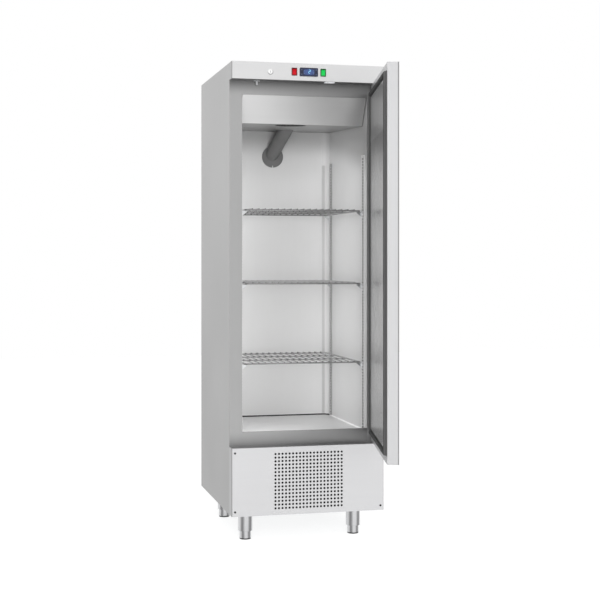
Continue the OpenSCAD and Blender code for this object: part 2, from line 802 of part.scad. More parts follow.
module door_foam() color(foam_cream) at_feet() at_door() difference() {
    union() {
        pan_space(sheet_t);
        seal_block(seal_w + sheet_t, pan_d - 2 * sheet_t, pan_d + inner_rise - sheet_t);
    }
    grip_space(sheet_t);
    door_bores();
}

module door_inner_panel() color([0.55, 0.55, 0.55]) at_feet() at_door() difference() {
    union() {
        seal_block(0, pan_d - sheet_t, pan_d);
        seal_block(seal_w, pan_d - sheet_t, pan_d + inner_rise);
    }
    seal_block(seal_w + sheet_t, pan_d - sheet_t - eps, pan_d + inner_rise - sheet_t);
}

module seal_ring(i, w, y0, y1) difference() {
    seal_block(i, y0, y1);
    seal_block(i + w, y0 - eps, y1 + eps);
}

module door_gasket() color(gasket_grey) at_feet() at_door() difference() {
    union() {
        seal_ring(0, seal_w, pan_d, pan_d + seal_base);
        seal_ring(2, seal_w * 0.55, pan_d, seal_y);
        seal_ring(seal_w - 4, 3, pan_d, pan_d + seal_base + seal_lip);
    }
    seal_ring(1.5, 2, seal_y - 5, seal_y - 3);
}

module door_bushes() color(black_plastic) at_feet() at_door() difference() {
    union() {
        rod_z([pivot[0], pivot[1], door_z[0] - bush_flange], bush_l + bush_flange, pin_d + 2 * bush_wall);
        rod_z([pivot[0], pivot[1], door_z[0] - bush_flange], bush_flange, pin_d + 2 * bush_wall + 4);
        rod_z([pivot[0], pivot[1], door_z[1] - bush_l], bush_l + bush_flange, pin_d + 2 * bush_wall);
        rod_z([pivot[0], pivot[1], door_z[1]], bush_flange, pin_d + 2 * bush_wall + 4);
    }
    rod_z([pivot[0], pivot[1], door_z[0] - hinge_t], bush_l + 2 * hinge_t, pin_d + 2 * pin_fit);
    rod_z([pivot[0], pivot[1], door_z[1] - bush_l - eps], bush_l + 2 * hinge_t, pin_d + 2 * pin_fit);
}

module upper_hinge() color(zinc_steel) at_feet() {
    base = control_z + sheet_t;
    block([pivot[0] - hinge_half, pivot[1] - hinge_half + 2, base],
        [pivot[0] + hinge_half, front_proud, base + hinge_t]);
    block([pivot[0] - hinge_half, front_proud - hinge_back_t, base],
        [pivot[0] + hinge_half, front_proud, base + hinge_back_h]);
    rod_z([pivot[0], pivot[1], door_z[1] - pin_l], base - door_z[1] + pin_l, pin_d);
}

module lower_hinge() color(zinc_steel) at_feet() {
    block([pivot[0] - hinge_half, pivot[1] - hinge_half + 2, lower_top],
        [pivot[0] + hinge_half, front_proud, lower_top + hinge_t]);
    block([pivot[0] - hinge_half, front_proud - hinge_back_t, lower_top],
        [pivot[0] + hinge_half, front_proud, lower_top + hinge_back_h]);
    rod_z([pivot[0], pivot[1], lower_top + hinge_t], door_foot_gap - hinge_t + pin_l, pin_d);
}

// Shelving

// Upright on the left wall, whose front edge is at y
module upright(y) difference() {
    slot_z = upright_z + slot_first - slot_h / 2;
    translate([0, 0, upright_z]) linear_extrude(upright_l) difference() {
        translate([-inner_half, y]) square([upright_d, upright_w]);
        translate([-inner_half - eps, y + upright_t])
            square([upright_d - upright_t + eps, upright_w - 2 * upright_t]);
    }
    for (i = [0:slot_count - 1])
        translate([-upright_face - upright_d / 2, y - eps, slot_z + i * slot_pitch])
            cube([upright_d, slot_reach + eps, slot_h]);
}

module shelf_uprights() color(liner_steel) at_feet() both_sides()
    for (y = upright_y) upright(y - upright_w / 2);

function shelf_z(slot) = upright_z + slot_first + slot * slot_pitch - shelf_drop;

// Clip on the left wall: a tab under the shelf, a plate on the upright and a hook in its slot
module clip(y, slot) {
    top = shelf_z(slot) - rod_d / 2 - shelf_seat;
    hook_z = upright_z + slot_first + slot * slot_pitch;
    low = hook_z - 2 * slot_pitch;
    block([-upright_face, y - clip_w / 2, top - clip_t], [-upright_face + clip_in, y + clip_w / 2, top]);
    block([-upright_face, y - clip_w / 2, low - slot_h / 2], [-upright_face + clip_t, y + clip_w / 2, top]);
    translate([0, y + clip_w / 2, 0]) rotate([90, 0, 0]) linear_extrude(clip_t) polygon([
        [-upright_face, top], [-upright_face + clip_in, top], [-upright_face + clip_in, top - 3],
        [-upright_face + clip_t, low - slot_h / 2], [-upright_face, low - slot_h / 2]
    ]);
    for (z = [hook_z - slot_pitch, low])
        block([-upright_face - clip_hook, y - clip_w / 2, z - slot_h / 2 + 0.4],
            [-upright_face, y - clip_w / 2 + 5, z + slot_h / 2 - 0.4]);
}

module shelf_clips() color(front_steel) at_feet() both_sides()
    for (y = upright_y, s = [bottom_slot, middle_slot, top_slot]) clip(y, s);

// Wire shelf: one rod bent into a frame, thinner rods across it and wires welded on top
module shelf(slot) color(polished) at_feet() translate([0, shelf_y[0], shelf_z(slot)]) {
    depth = shelf_y[1] - shelf_y[0];
    side = shelf_half - rod_d / 2;
    pipe([
        [0, 0, 0], [side, 0, 0], [side, depth, 0], [-side, depth, 0], [-side, 0, 0], [0, 0, 0]
    ], rod_d, shelf_bend);
    for (i = [1:shelf_rods - 2])
        rod_x([-side, i * depth / (shelf_rods - 1), cross_up], 2 * side, rod_d - cross_less);
    for (i = [1:shelf_wires - 2])
        rod_y([-side + i * 2 * side / (shelf_wires - 1), -rod_d / 2, (rod_d + wire_d) / 2 - weld],
            depth + rod_d, wire_d);
}
module top_shelf() shelf(top_slot);
module middle_shelf() shelf(middle_slot);
module bottom_shelf() shelf(bottom_slot);

// Evaporator

module evaporator_cover() color(liner_steel) at_feet() {
    intersection() {
        difference() {
            facing_x(-cover_half, 2 * cover_half) polygon(bent_sheet(cover_path, sheet_t));
            rod_z([evap_fan_pos[0], evap_fan_pos[1], cover_low[1] - 5], cover_rise + 20, evap_hole_d);
            duct_rod(duct_d - 2 * duct_wall);
            rod_y([drain_x, wall_y - 2 * sheet_t, drain_z], 3 * sheet_t, drain_d);
        }
        cover_room();
    }
    intersection() {
        both_sides() facing_x(-cover_half, sheet_t) polygon(cover_path);
        cover_room();
    }
    fan_guard();
}

// Room for the cover: the liner's space and the opening of the frame
module cover_room() {
    liner_space(0);
    block([-inner_half, front_proud, sill_z], [inner_half, lintel_y, head_z]);
}

// Crossed wires across the fan opening, in the slope of the cover's underside
module fan_guard() translate([
    evap_fan_pos[0], evap_fan_pos[1],
    cover_low[1] + (evap_fan_pos[1] - cover_low[0]) * tan(cover_pitch) + sheet_t / 2
]) rotate([cover_pitch, 0, 0])
    for (a = [0, 90]) rotate([0, 0, a]) rod_x([-evap_hole_d / 2 - 1, 0, 0], evap_hole_d + 2, guard_d);

// Centre in Y and Z of tube k in a block of fins: row by row from the bottom, to and fro
function tube_at(size, rows, cols, k) = let (
    r = floor(k / cols),
    c = r % 2 == 0 ? cols - 1 - k % cols : k % cols
) [(c + 0.5) * size[0] / cols, (r + 0.5) * size[1] / rows];
module tube_spots(size, rows, cols, d) for (k = [0:rows * cols - 1])
    translate(tube_at(size, rows, cols, k)) circle(d = d);

// Flat fins along X on one tube that runs to and fro, with both its ends at the left
module fin_block(half, size, pitch, rows, cols) {
    count = floor(2 * half / pitch);
    for (i = [0:count]) facing_x(-half + i * 2 * half / count - fin_t / 2, fin_t) difference() {
        square(size);
        tube_spots(size, rows, cols, tube_d + 2 * fin_fit);
    }
    facing_x(-half - tube_end, 2 * (half + tube_end)) tube_spots(size, rows, cols, tube_d);
    for (k = [0:rows * cols - 2]) {
        p = tube_at(size, rows, cols, k);
        q = tube_at(size, rows, cols, k + 1);
        side = k % 2 == 0 ? 1 : -1;
        u = unit(q - p);
        m = (p + q) / 2;
        frame_at([side * (half + tube_end), m[0], m[1]], [0, u[0], u[1]], [side, 0, 0])
            rotate_extrude(angle = 180) translate([norm(q - p) / 2, 0]) circle(d = tube_d);
    }
}

module evaporator_coil() color(fin_alu) at_feet() translate([0, evap_coil_y, evap_coil_z]) {
    fin_block(evap_coil_half, evap_coil_size, evap_fin_pitch, evap_rows, evap_cols);
    both_sides() facing_x(evap_coil_half + 2, sheet_t) difference() {
        square([evap_coil_size[0], ceiling_z - evap_coil_z]);
        tube_spots(evap_coil_size, evap_rows, evap_cols, tube_d + 2 * fin_fit);
    }
}

// Fan whose axis is Z: a hub with pitched blades, and a bore for the shaft at its far end
module fan(d, hub_d, h, blades, pitch_deg) difference() {
    union() {
        cylinder(h = h, d = hub_d);
        for (i = [0:blades - 1]) rotate([0, 0, i * 360 / blades]) intersection() {
            translate([0, 0, blade_in]) cylinder(h = h - 2 * blade_in, d = d);
            translate([hub_d / 4, 0, h / 2]) rotate([pitch_deg, 0, 0])
                translate([0, -d / 6, -blade_t / 2]) cube([d / 2, d / 3, blade_t]);
        }
    }
    translate([0, 0, h - shaft_in - 1]) cylinder(h = shaft_in + 2, d = shaft_d + 2 * shaft_fit);
}

module evaporator_fan() color(black_plastic) at_feet() translate(evap_fan_pos)
    fan(evap_fan_d, 40, evap_fan_h, 5, 28);

module evaporator_motor() color(zinc_steel) at_feet() {
    base = evap_fan_pos[2] + evap_fan_h + fan_slit;
    rod_z([evap_fan_pos[0], evap_fan_pos[1], base - fan_slit - shaft_in], fan_slit + shaft_in, shaft_d);
    rod_z([evap_fan_pos[0], evap_fan_pos[1], base], 50, 62);
    rod_z([evap_fan_pos[0], evap_fan_pos[1], base + 50], ceiling_z - base - 50, 16);
    rod_z([evap_fan_pos[0], evap_fan_pos[1], ceiling_z - 3], 3, 60);
}

// Round bar along the duct, from inside the rear wall to above the cover
module duct_rod(d) {
    along = unit(duct_run);
    side = unit(cross(along, [1, 0, 0]));
    frame_at(duct_start - duct_run / 2, cross(side, along), side) cylinder(h = 2 * norm(duct_run), d = d);
}

// Air duct from the rear wall up to the cover's underside
module air_duct() color(grey_plastic) at_feet() difference() {
    union() {
        difference() {
            duct_rod(duct_d);
            facing_x(-duct_reach, 2 * duct_reach)
                polygon([cover_low, cover_back, cover_back + [0, 200], cover_low + [0, 200]]);
        }
        rod_y([duct_low[0], wall_y - duct_flange_t, duct_low[2]], duct_flange_t, duct_flange_d);
    }
    duct_rod(duct_d - 2 * duct_wall);
    block([-duct_flange_d, wall_y, duct_low[2] - 200], [duct_flange_d, wall_y + 200, duct_low[2] + 200]);
    block([-duct_notch_w / 2, wall_y - duct_flange_t - eps, duct_low[2] - duct_flange_d],
        [duct_notch_w / 2, wall_y + eps, duct_low[2] - duct_flange_d / 2 + duct_notch_h]);
}

function drain_path() = [
    [drain_x, wall_y - 20, drain_z], [drain_x, drain_y, drain_z],
    [drain_x, drain_y, dish_pos[2] + dish_size[2] + 15]
];
function suction_path() = let (
    from = evap_coil_y + tube_at(evap_coil_size, evap_rows, evap_cols, 0)[0],
    left = -evap_coil_half - tube_end
) [
    [left - braze, from, suction_z], [left - tube_in, from, suction_z],
    [left - tube_in, wall_y - tube_in, suction_z], [suction_x, wall_y - tube_in, suction_z],
    [suction_x, drain_y, suction_z], [suction_x, drain_y, bay_z + comp_in_z],
    [suction_x, comp_pos[1] + comp_d / 2 + comp_port_l + braze, bay_z + comp_in_z]
];

module drain_pipe() color(grey_plastic) at_feet() pipe(drain_path(), drain_d, drain_d);

// Machine compartment

module condenser_coil() color(fin_alu) at_feet() translate([0, cond_y, cond_z])
    fin_block(cond_w / 2, [cond_d, cond_h], cond_fin_pitch, cond_rows, cond_cols);

module condenser_shroud() color(black_plastic) at_feet() {
    y = cond_y + cond_d;
    side = cond_w / 2 + 4;
    difference() {
        block([-side, y, bay_z], [side, y + shroud_d, cond_z + cond_h + 4]);
        block([-side + shroud_t, y - eps, cond_z],
            [side - shroud_t, y + shroud_d - shroud_t, cond_z + cond_h]);
        rod_y([0, y, cond_mid], shroud_d + eps, cond_fan_d + 2 * fan_clear);
    }
}

module condenser_fan() color(black_plastic) at_feet() translate([0, cond_fan_y - cond_fan_t / 2, cond_mid])
    rotate([-90, 0, 0]) fan(cond_fan_d, fan_hub_d, cond_fan_t, 5, 30);

module condenser_motor() color(zinc_steel) at_feet() {
    y = cond_fan_y + cond_fan_t / 2 + fan_slit;
    rod_y([0, y - fan_slit - shaft_in, cond_mid], fan_slit + shaft_in, shaft_d);
    half = bracket_w / 2;
    near = y + bracket_y;
    rod_y([0, y, cond_mid], cond_motor_l, cond_motor_d);
    block([-half, near, bay_z], [half, near + bracket_t, cond_mid - cond_motor_d / 3]);
    block([-half, near, bay_z], [half, near + bracket_l, bay_z + bracket_t]);
}

module compressor() color(black_plastic) at_feet() translate(comp_pos) {
    r = comp_d / 2;
    round = 34;
    translate([0, 0, mount_h]) rotate_extrude() {
        square([r - round, comp_h]);
        translate([0, round]) square([r, comp_h - 2 * round]);
        for (z = [round, comp_h - round]) intersection() {
            translate([r - round, z]) circle(r = round);
            square([r, comp_h]);
        }
    }
    difference() {
        translate([0, 0, mount_h]) linear_extrude(3)
            round_rect(2 * comp_foot[0] + 34, 2 * comp_foot[1] + 34, 10);
        for (x = [-1, 1], y = [-1, 1])
            rod_z([x * comp_foot[0], y * comp_foot[1], 0], mount_h + 10, 9);
    }
    translate([-r - 24, -24, mount_h + 50]) cube([40, 48, 56]);
    rod_y([0, 0, comp_in_z], r + comp_port_l, comp_port_d);
    rod_y([0, -r - comp_port_l, comp_out_z], r + comp_port_l, comp_port_d);
}

module compressor_mounts() color(gasket_grey) at_feet() translate(comp_pos)
    for (x = [-1, 1], y = [-1, 1]) translate([x * comp_foot[0], y * comp_foot[1], 0]) {
        cylinder(h = mount_h, d = 24);
        cylinder(h = mount_h + 8, d = 8.8);
        translate([0, 0, mount_h + 3]) cylinder(h = 4, d = 20);
    }

module filter_drier() color(copper) at_feet() translate(drier_pos) {
    cylinder(h = drier_l, d = drier_d);
    translate([0, 0, -drier_cone]) cylinder(h = drier_cone, d1 = 8, d2 = drier_d);
    translate([0, 0, drier_l]) cylinder(h = drier_cone, d1 = drier_d, d2 = 4);
}

// Suction pipe, discharge pipe, liquid pipe and capillary tube
module refrigerant_pipes() color(copper) at_feet() {
    left = -cond_w / 2 - tube_end - braze;
    coil = [cond_y, cond_z];
    inlet = coil + tube_at([cond_d, cond_h], cond_rows, cond_cols, cond_rows * cond_cols - 1);
    outlet = coil + tube_at([cond_d, cond_h], cond_rows, cond_cols, 0);
    comp_front = comp_pos[1] - comp_d / 2 - comp_port_l - braze;
    pipe(suction_path(), tube_d, 2 * tube_d);
    pipe([
        [comp_pos[0], comp_front, bay_z + comp_out_z], [comp_pos[0], comp_front - 40, bay_z + comp_out_z],
        [comp_pos[0], comp_front - 40, inlet[1]], [drier_pos[0], comp_front - 40, inlet[1]],
        [drier_pos[0], inlet[0], inlet[1]], [left, inlet[0], inlet[1]]
    ], 8, 14);
    pipe([
        [left, outlet[0], outlet[1]], [drier_pos[0], outlet[0], outlet[1]],
        [drier_pos[0], drier_pos[1], outlet[1]], drier_pos - [0, 0, drier_cone]
    ], 8, 14);
    pipe([
        drier_pos + [0, 0, drier_l + drier_cone], drier_pos + [0, 0, drier_l + drier_cone + 22],
        [drier_pos[0], drain_y, drier_pos[2] + drier_l + drier_cone + 22],
        [suction_x - tube_d / 2 - braze, drain_y, drier_pos[2] + drier_l + drier_cone + 22]
    ], 4, 10);
}

module evaporation_tray() color(black_plastic) at_feet() translate(dish_pos) difference() {
    cube(dish_size);
    translate([2, 2, 2]) cube([dish_size[0] - 4, dish_size[1] - 4, dish_size[2]]);
}

module terminal_box() color(pale_plastic) at_feet() difference() {
    translate(box_pos) cube(box_size);
    rod_y([gland_x, rear_y - 20, gland_z], 30, gland_d);
}

module cable_gland() color(black_plastic) at_feet() difference() {
    union() {
        rod_y([gland_x, rear_y - 12, gland_z], 12 + sheet_t, gland_d);
        rod_y([gland_x, rear_y + sheet_t, gland_z], 3, gland_d + 8);
        rod_y([gland_x, rear_y + sheet_t + 3, gland_z], 10, gland_d + 2);
    }
    rod_y([gland_x, rear_y - 13, gland_z], 40, 8);
}

// Legs

module leg_sleeves() color(polished) at_feet() for (x = foot_x, y = foot_y) difference() {
    rod_z([x, y, foot_show], leg_h - foot_show, sleeve_d);
    rod_z([x, y, foot_show - eps], leg_h - foot_show - sleeve_cap + eps, foot_d + 2 * foot_fit);
}

module foot(i, j) at_feet() {
    color(polished)
        rod_z([foot_x[i], foot_y[j], sole_t], leg_h - sleeve_cap - foot_spare - sole_t, foot_d);
    color(black_plastic) rod_z([foot_x[i], foot_y[j], 0], sole_t, foot_d);
}
module front_left_foot() foot(0, 0);
module front_right_foot() foot(1, 0);
module rear_left_foot() foot(0, 1);
module rear_right_foot() foot(1, 1);

left_side_panel();
right_side_panel();
top_panel();
rear_panel();
rear_grille();
front_frame();
inner_liner();
foam_insulation();
base_tray();
lower_panel();
panel_screws();
control_panel();
controller_case();
display_window();
upper_left_key();
lower_left_key();
upper_right_key();
lower_right_key();
switch_housings();
red_rocker();
green_rocker();
lock_body();
lock_barrel();
lock_cam();
door_sensor();
lamp_lens();
door_skin();
door_inner_panel();
door_foam();
door_gasket();
door_bushes();
upper_hinge();
lower_hinge();
shelf_uprights();
shelf_clips();
top_shelf();
middle_shelf();
bottom_shelf();
evaporator_cover();
evaporator_coil();
evaporator_fan();
evaporator_motor();
air_duct();
drain_pipe();
condenser_coil();
condenser_shroud();
condenser_fan();
condenser_motor();
compressor();
compressor_mounts();
filter_drier();
refrigerant_pipes();
evaporation_tray();
terminal_box();
cable_gland();
leg_sleeves();
front_left_foot();
front_right_foot();
rear_left_foot();
rear_right_foot();
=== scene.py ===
# Finishes, trim and studio for an upright refrigerated cabinet with one door.
# Metres; X to the right, Y to the rear, Z up; the origin is on the floor between the feet.

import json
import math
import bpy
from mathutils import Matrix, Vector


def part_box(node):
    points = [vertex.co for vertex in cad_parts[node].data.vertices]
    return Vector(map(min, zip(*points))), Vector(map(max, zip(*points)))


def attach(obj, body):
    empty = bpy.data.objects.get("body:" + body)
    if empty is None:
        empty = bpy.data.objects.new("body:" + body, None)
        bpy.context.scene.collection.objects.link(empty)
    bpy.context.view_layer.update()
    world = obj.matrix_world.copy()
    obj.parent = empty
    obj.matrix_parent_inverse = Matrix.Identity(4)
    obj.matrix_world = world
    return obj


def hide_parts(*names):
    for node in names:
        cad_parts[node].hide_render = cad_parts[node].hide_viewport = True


bl_info = {
    "name": "Refrigerated cabinet",
    "version": (1, 0, 0),
    "blender": (4, 5, 0),
    "location": "3D View > Sidebar > Cabinet",
    "description": "Gives the cabinet its finishes, its fine trim and a plain studio",
    "category": "Object",
}

import bmesh
import bpy
import numpy as np
from bpy.props import FloatProperty, FloatVectorProperty, IntProperty, PointerProperty
from mathutils import Vector

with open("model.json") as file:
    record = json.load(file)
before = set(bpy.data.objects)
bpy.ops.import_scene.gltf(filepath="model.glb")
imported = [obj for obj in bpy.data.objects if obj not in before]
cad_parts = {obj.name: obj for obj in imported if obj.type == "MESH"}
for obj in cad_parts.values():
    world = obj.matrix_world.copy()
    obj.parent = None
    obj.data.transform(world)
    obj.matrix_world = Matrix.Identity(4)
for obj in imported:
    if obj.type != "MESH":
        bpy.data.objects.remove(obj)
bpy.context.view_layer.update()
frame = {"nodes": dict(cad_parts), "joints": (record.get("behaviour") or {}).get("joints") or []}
JOINTS = {joint["name"]: joint for joint in frame["joints"]}
DOOR_PIVOT = np.array(JOINTS["door_hinge"]["pos_m"])
DOOR_OPEN = math.radians(-JOINTS["door_hinge"]["range_deg"][0])
MM = 0.001
WELD = 1e-6
SMOOTH_ANGLE = math.radians(38)
PAINTED_SHADE_TONE = 0.2  # share of its tone that steel keeps where the painted shade is full

# Sizes of the cabinet's own pieces
FEET = ("front_left_foot", "front_right_foot", "rear_left_foot", "rear_right_foot")
SOLE = 0.0045  # thickness of a foot's sole
SHEET = 0.001  # thickness of the liner
COVE = 0.031  # radius of the liner's rear corners
RISE = 0.024  # rise of the evaporator cover's underside towards the rear
COVER_DEPTH = 0.054  # from the cover's front to the bend of its underside
GUARD_R = 0.0605  # radius of the opening for the evaporator fan
# The last is the radius of the ring of painted shade round each hole of the lower panel.
HOLE_COLUMNS, HOLE_ROWS, HOLE_PITCH, HOLE_SHADE_RADIUS = 20, 16, 0.0138, 0.0044
SUNK = 0.0002  # how far the back of a bead lies in the sheet

# Tones of the finishes that the sidebar doesn't hold
ZINC = (0.32, 0.34, 0.35)
BRIGHT_STEEL = (0.78, 0.79, 0.8)
WIRE_STEEL = (0.4, 0.4, 0.4)
SCREW_STEEL = (0.07, 0.07, 0.07)
FOAM = (0.84, 0.74, 0.38)
COPPER = (0.72, 0.36, 0.22)
FINS = (0.62, 0.63, 0.64)
PAINTED_FINS = (0.016, 0.016, 0.017)
BARE_FINS = (0.4, 0.4, 0.4)
BLACK = (0.012, 0.012, 0.013)
NAVY = (0.012, 0.016, 0.045)
DUCT_GREY = (0.112, 0.112, 0.112)
PALE_GREY = (0.5, 0.51, 0.52)
KEY_BLUE = (0.06, 0.08, 0.14)
# The dark rear sealant also stands in for the shade in its joint; the pale tone is a painted highlight along
# the floor's side bends.
SEALANT_AND_SHADE, PAINTED_HIGHLIGHT_TONE = (0.04, 0.04, 0.04), (0.95, 0.95, 0.95)
RED_BEZEL, GREEN_BEZEL = (0.16, 0.006, 0.01), (0.008, 0.11, 0.025)
LENS, LENS_GLOW = (0.9, 0.9, 0.92), (0.95, 0.97, 1.0)
RED, RED_GLOW = (0.6, 0.004, 0.012), (0.8, 0.01, 0.03)
GREEN, GREEN_GLOW = (0.012, 0.5, 0.08), (0.02, 0.8, 0.14)
WINDOW_RIM = (0.004, 0.014, 0.07)
DIGIT_GLOW, MARK_GLOW = (0.25, 0.6, 0.85), (0.22, 0.3, 0.45)
WHITE = (1.0, 1.0, 1.0, 1.0)


# Shader maths


class Signal:
    """One output socket of a finish. Arithmetic on it adds a Math node and gives a new Signal."""

    def __init__(self, finish, socket):
        self.finish = finish
        self.socket = socket

    def math(self, operation, *values):
        return self.finish.math(operation, *values)

    def __add__(self, other):
        return self.math("ADD", self, other)

    def __radd__(self, other):
        return self.math("ADD", other, self)

    def __sub__(self, other):
        return self.math("SUBTRACT", self, other)

    def __rsub__(self, other):
        return self.math("SUBTRACT", other, self)

    def __mul__(self, other):
        return self.math("MULTIPLY", self, other)

    def __rmul__(self, other):
        return self.math("MULTIPLY", other, self)

    def __truediv__(self, other):
        return self.math("DIVIDE", self, other)

    def over(self, other):
        return self.math("GREATER_THAN", self, other)

    def under(self, other):
        return self.math("LESS_THAN", self, other)

    def most(self, other):
        return self.math("MAXIMUM", self, other)

    def size(self):
        return self.math("ABSOLUTE", self)

    def fraction(self):
        return self.math("FRACT", self)

    def ramp(self, low, high, start=0.0, end=1.0):
        """Smooth step from start to end as the signal goes from low to high."""
        return self.finish.node(
            "ShaderNodeMapRange",
            {"interpolation_type": "SMOOTHSTEP"},
            {"Value": self, "From Min": low, "From Max": high, "To Min": start, "To Max": end},
        )


class Finish:
    """Node tree of a material or a world, filled through node()."""

    def __init__(self, owner):
        self.owner = owner
        owner.use_nodes = True
        self.tree = owner.node_tree
        self.tree.nodes.clear()

    def node(self, kind, settings=None, links=None, out=0):
        """Adds a node: its settings first, then the values or signals of its sockets."""
        added = self.tree.nodes.new(kind)
        for name, value in (settings or {}).items():
            setattr(added, name, value)
        for name, value in (links or {}).items():
            if isinstance(value, Signal):
                self.tree.links.new(value.socket, added.inputs[name])
            else:
                added.inputs[name].default_value = value
        return Signal(self, added.outputs[out]) if len(added.outputs) else added

    def math(self, operation, *values):
        return self.node("ShaderNodeMath", {"operation": operation}, dict(enumerate(values)))

    def place(self):
        return self.node("ShaderNodeTexCoord", out="Object")

    def axes(self):
        """Signals for X, Y and Z in the cabinet's own metres."""
        split = self.node("ShaderNodeSeparateXYZ", links={0: self.place()}).socket.node
        return [Signal(self, split.outputs[i]) for i in range(3)]

    def noise(self, waves, detail=2.0, roughness=0.5, shift=(0.0, 0.0, 0.0)):
        """Noise from 0 to 1 with so many waves to the metre, the same or one number for each axis."""
        scale = tuple(np.broadcast_to(waves, 3))
        mapped = self.node(
            "ShaderNodeMapping", links={"Vector": self.place(), "Location": shift, "Scale": scale}
        )
        return self.node(
            "ShaderNodeTexNoise",
            links={"Vector": mapped, "Scale": 1.0, "Detail": detail, "Roughness": roughness},
        )

    def mix(self, share, first, second):
        """Colour between first and second."""
        colours = {
            name: value if isinstance(value, Signal) else (*value[:3], 1.0)
            for name, value in ((6, first), (7, second))
        }
        return self.node("ShaderNodeMix", {"data_type": "RGBA"}, {0: share, **colours}, out=2)

    def bump(self, height, depth):
        """Normal of a surface whose relief is depth metres at height 1."""
        return self.node("ShaderNodeBump", links={"Height": height, "Distance": depth, "Strength": 1.0})

    def close(self, links):
        """Ends the material in a Principled surface."""
        surface = self.node("ShaderNodeBsdfPrincipled", links=links)
        self.node("ShaderNodeOutputMaterial", links={"Surface": surface})
        return self.owner


def shade(colour, factor):
    """Colour times a factor."""
    return tuple(min(1.0, c * factor) for c in colour[:3])


def material(name):
    return Finish(bpy.data.materials.new(name))


# Surfaces worked out as arrays


def grid_faces(rows, columns, wrap_rows=False, wrap_columns=False):
    """Quads between neighbours of a grid of points; a wrapped direction joins its last line to its first."""
    r = np.arange(rows if wrap_rows else rows - 1)
    c = np.arange(columns if wrap_columns else columns - 1)
    r, c = (a.ravel() for a in np.meshgrid(r, c, indexing="ij"))
    r2, c2 = (r + 1) % rows, (c + 1) % columns
    return np.stack([r * columns + c, r2 * columns + c, r2 * columns + c2, r * columns + c2], 1)


def copies(points, faces, offsets):
    """The same surface at each offset: points and faces of all the copies."""
    all_points = offsets[:, None, :] + points[None]
    all_faces = np.arange(len(offsets))[:, None, None] * len(points) + faces[None]
    return all_points.reshape(-1, 3), all_faces.reshape(-1, faces.shape[1])


def lathe(profile, turns):
    """Surface of revolution about Z: radius and height of the profile carried round a full turn."""
    angle = np.linspace(0, 2 * np.pi, turns, endpoint=False)
    radius, height = np.array(profile, float).T
    points = np.stack([
        np.outer(np.cos(angle), radius), np.outer(np.sin(angle), radius), np.tile(height, (turns, 1))
    ], 2)
    return points.reshape(-1, 3), grid_faces(turns, len(profile), wrap_rows=True)


def frame_sweep(low, high, front, profile):
    """Profile of inset and rise carried round a rectangle in X and Z with mitred corners.

    A point at inset w and rise h lies at the rectangle shrunk by w, h behind the plane front.
    """
    inset, rise = np.array(profile, float).T
    x = np.stack([low[0] + inset, high[0] - inset, high[0] - inset, low[0] + inset])
    z = np.stack([low[1] + inset, low[1] + inset, high[1] - inset, high[1] - inset])
    y = np.tile(front + rise, (4, 1))
    return np.stack([x, y, z], 2).reshape(-1, 3), grid_faces(4, len(profile), True, True)


def wall_sweep(path, inward, floor, profile):
    """Closed profile carried along a line in plan at floor level, with a cap at each end.

    A profile point (a, b) lies a along the inward direction at each point of the line and b above it.
    """
    profile = np.array(profile, float)
    across = path[:, None, :] + inward[:, None, :] * profile[None, :, :1]
    height = np.broadcast_to(floor + profile[None, :, 1:], (*across.shape[:2], 1))
    points = np.concatenate([across, height], 2).reshape(-1, 3)
    ring, last = np.arange(len(profile)), len(points) - len(profile)
    return points, [grid_faces(len(path), len(profile), wrap_columns=True), np.stack([ring, ring + last])]


def outline_prisms(outlines, near, far):
    """Flat outlines in X and Z drawn out in Y from near to far, one closed prism for each outline."""
    count, corners = outlines.shape[:2]
    flat = np.insert(outlines, 1, 0.0, axis=2)
    points = flat[:, None] + np.array([[0, near, 0], [0, far, 0]])[None, :, None]
    first = np.arange(count)[:, None] * 2 * corners
    sides = (first[:, :, None] + grid_faces(2, corners, wrap_columns=True)[None]).reshape(-1, 4)
    ends = np.concatenate([first + np.arange(corners), first + corners + np.arange(corners)])
    return points.reshape(-1, 3), [sides, ends]


def screw_surface(head_r, head_h, shank_r, shank_l, recess, rings, turns):
    """Cross-recessed screw along Z, head upwards, as one surface of profile by turn.

    The head is a dome whose height falls with the square of the radius; the recess takes away depth
    where the smaller of |x| and |y| is inside half a blade and the larger inside the blade's reach.
    """
    reach, blade, depth = recess
    radius = np.concatenate([np.linspace(0, head_r * 0.97, rings), [head_r, head_r, shank_r, shank_r, 0]])
    share = np.clip(radius / head_r, 0, 1)
    height = head_h * (0.62 + 0.38 * (1 - share ** 2))
    height[rings:] = [head_h * 0.45, 0, 0, -shank_l, -shank_l - shank_r]
    angle = np.linspace(0, 2 * np.pi, turns, endpoint=False)
    x, y = np.outer(np.cos(angle), radius), np.outer(np.sin(angle), radius)
    z = np.tile(height, (turns, 1))
    small, large = np.minimum(abs(x), abs(y)), np.maximum(abs(x), abs(y))
    inside = np.clip((blade - small) / (0.3 * blade), 0, 1) * np.clip((reach - large) / (0.2 * reach), 0, 1)
    inside[:, rings:] = 0
    z = z - depth * inside
    return np.stack([x, y, z], 2).reshape(-1, 3), grid_faces(turns, len(radius), wrap_rows=True)


def facing_front(points):
    """Points drawn along Z turned so that Z looks out of the front."""
    return points[:, [0, 2, 1]] * np.array([1, -1, 1])


def facing_back(points):
    """Points drawn along Z turned so that Z looks out of the back."""
    return points[:, [0, 2, 1]]


def hood_surface(half, height, depth, columns, rows):
    """Pressed louvre hood, open below, as one surface over its width u and its height v.

    It stands out by depth at its lower edge. Upwards that falls with the 0.8th power of a quarter
    cosine of v, and towards the ends with the sixth power of u.
    """
    u, v = np.meshgrid(np.linspace(-1, 1, columns), np.linspace(0, 1, rows), indexing="ij")
    out = depth * (1 - u ** 6) * np.cos(v * np.pi / 2) ** 0.8
    points = np.stack([u * half, out, (v - 0.5) * height], 2).reshape(-1, 3)
    return points, grid_faces(columns, rows)


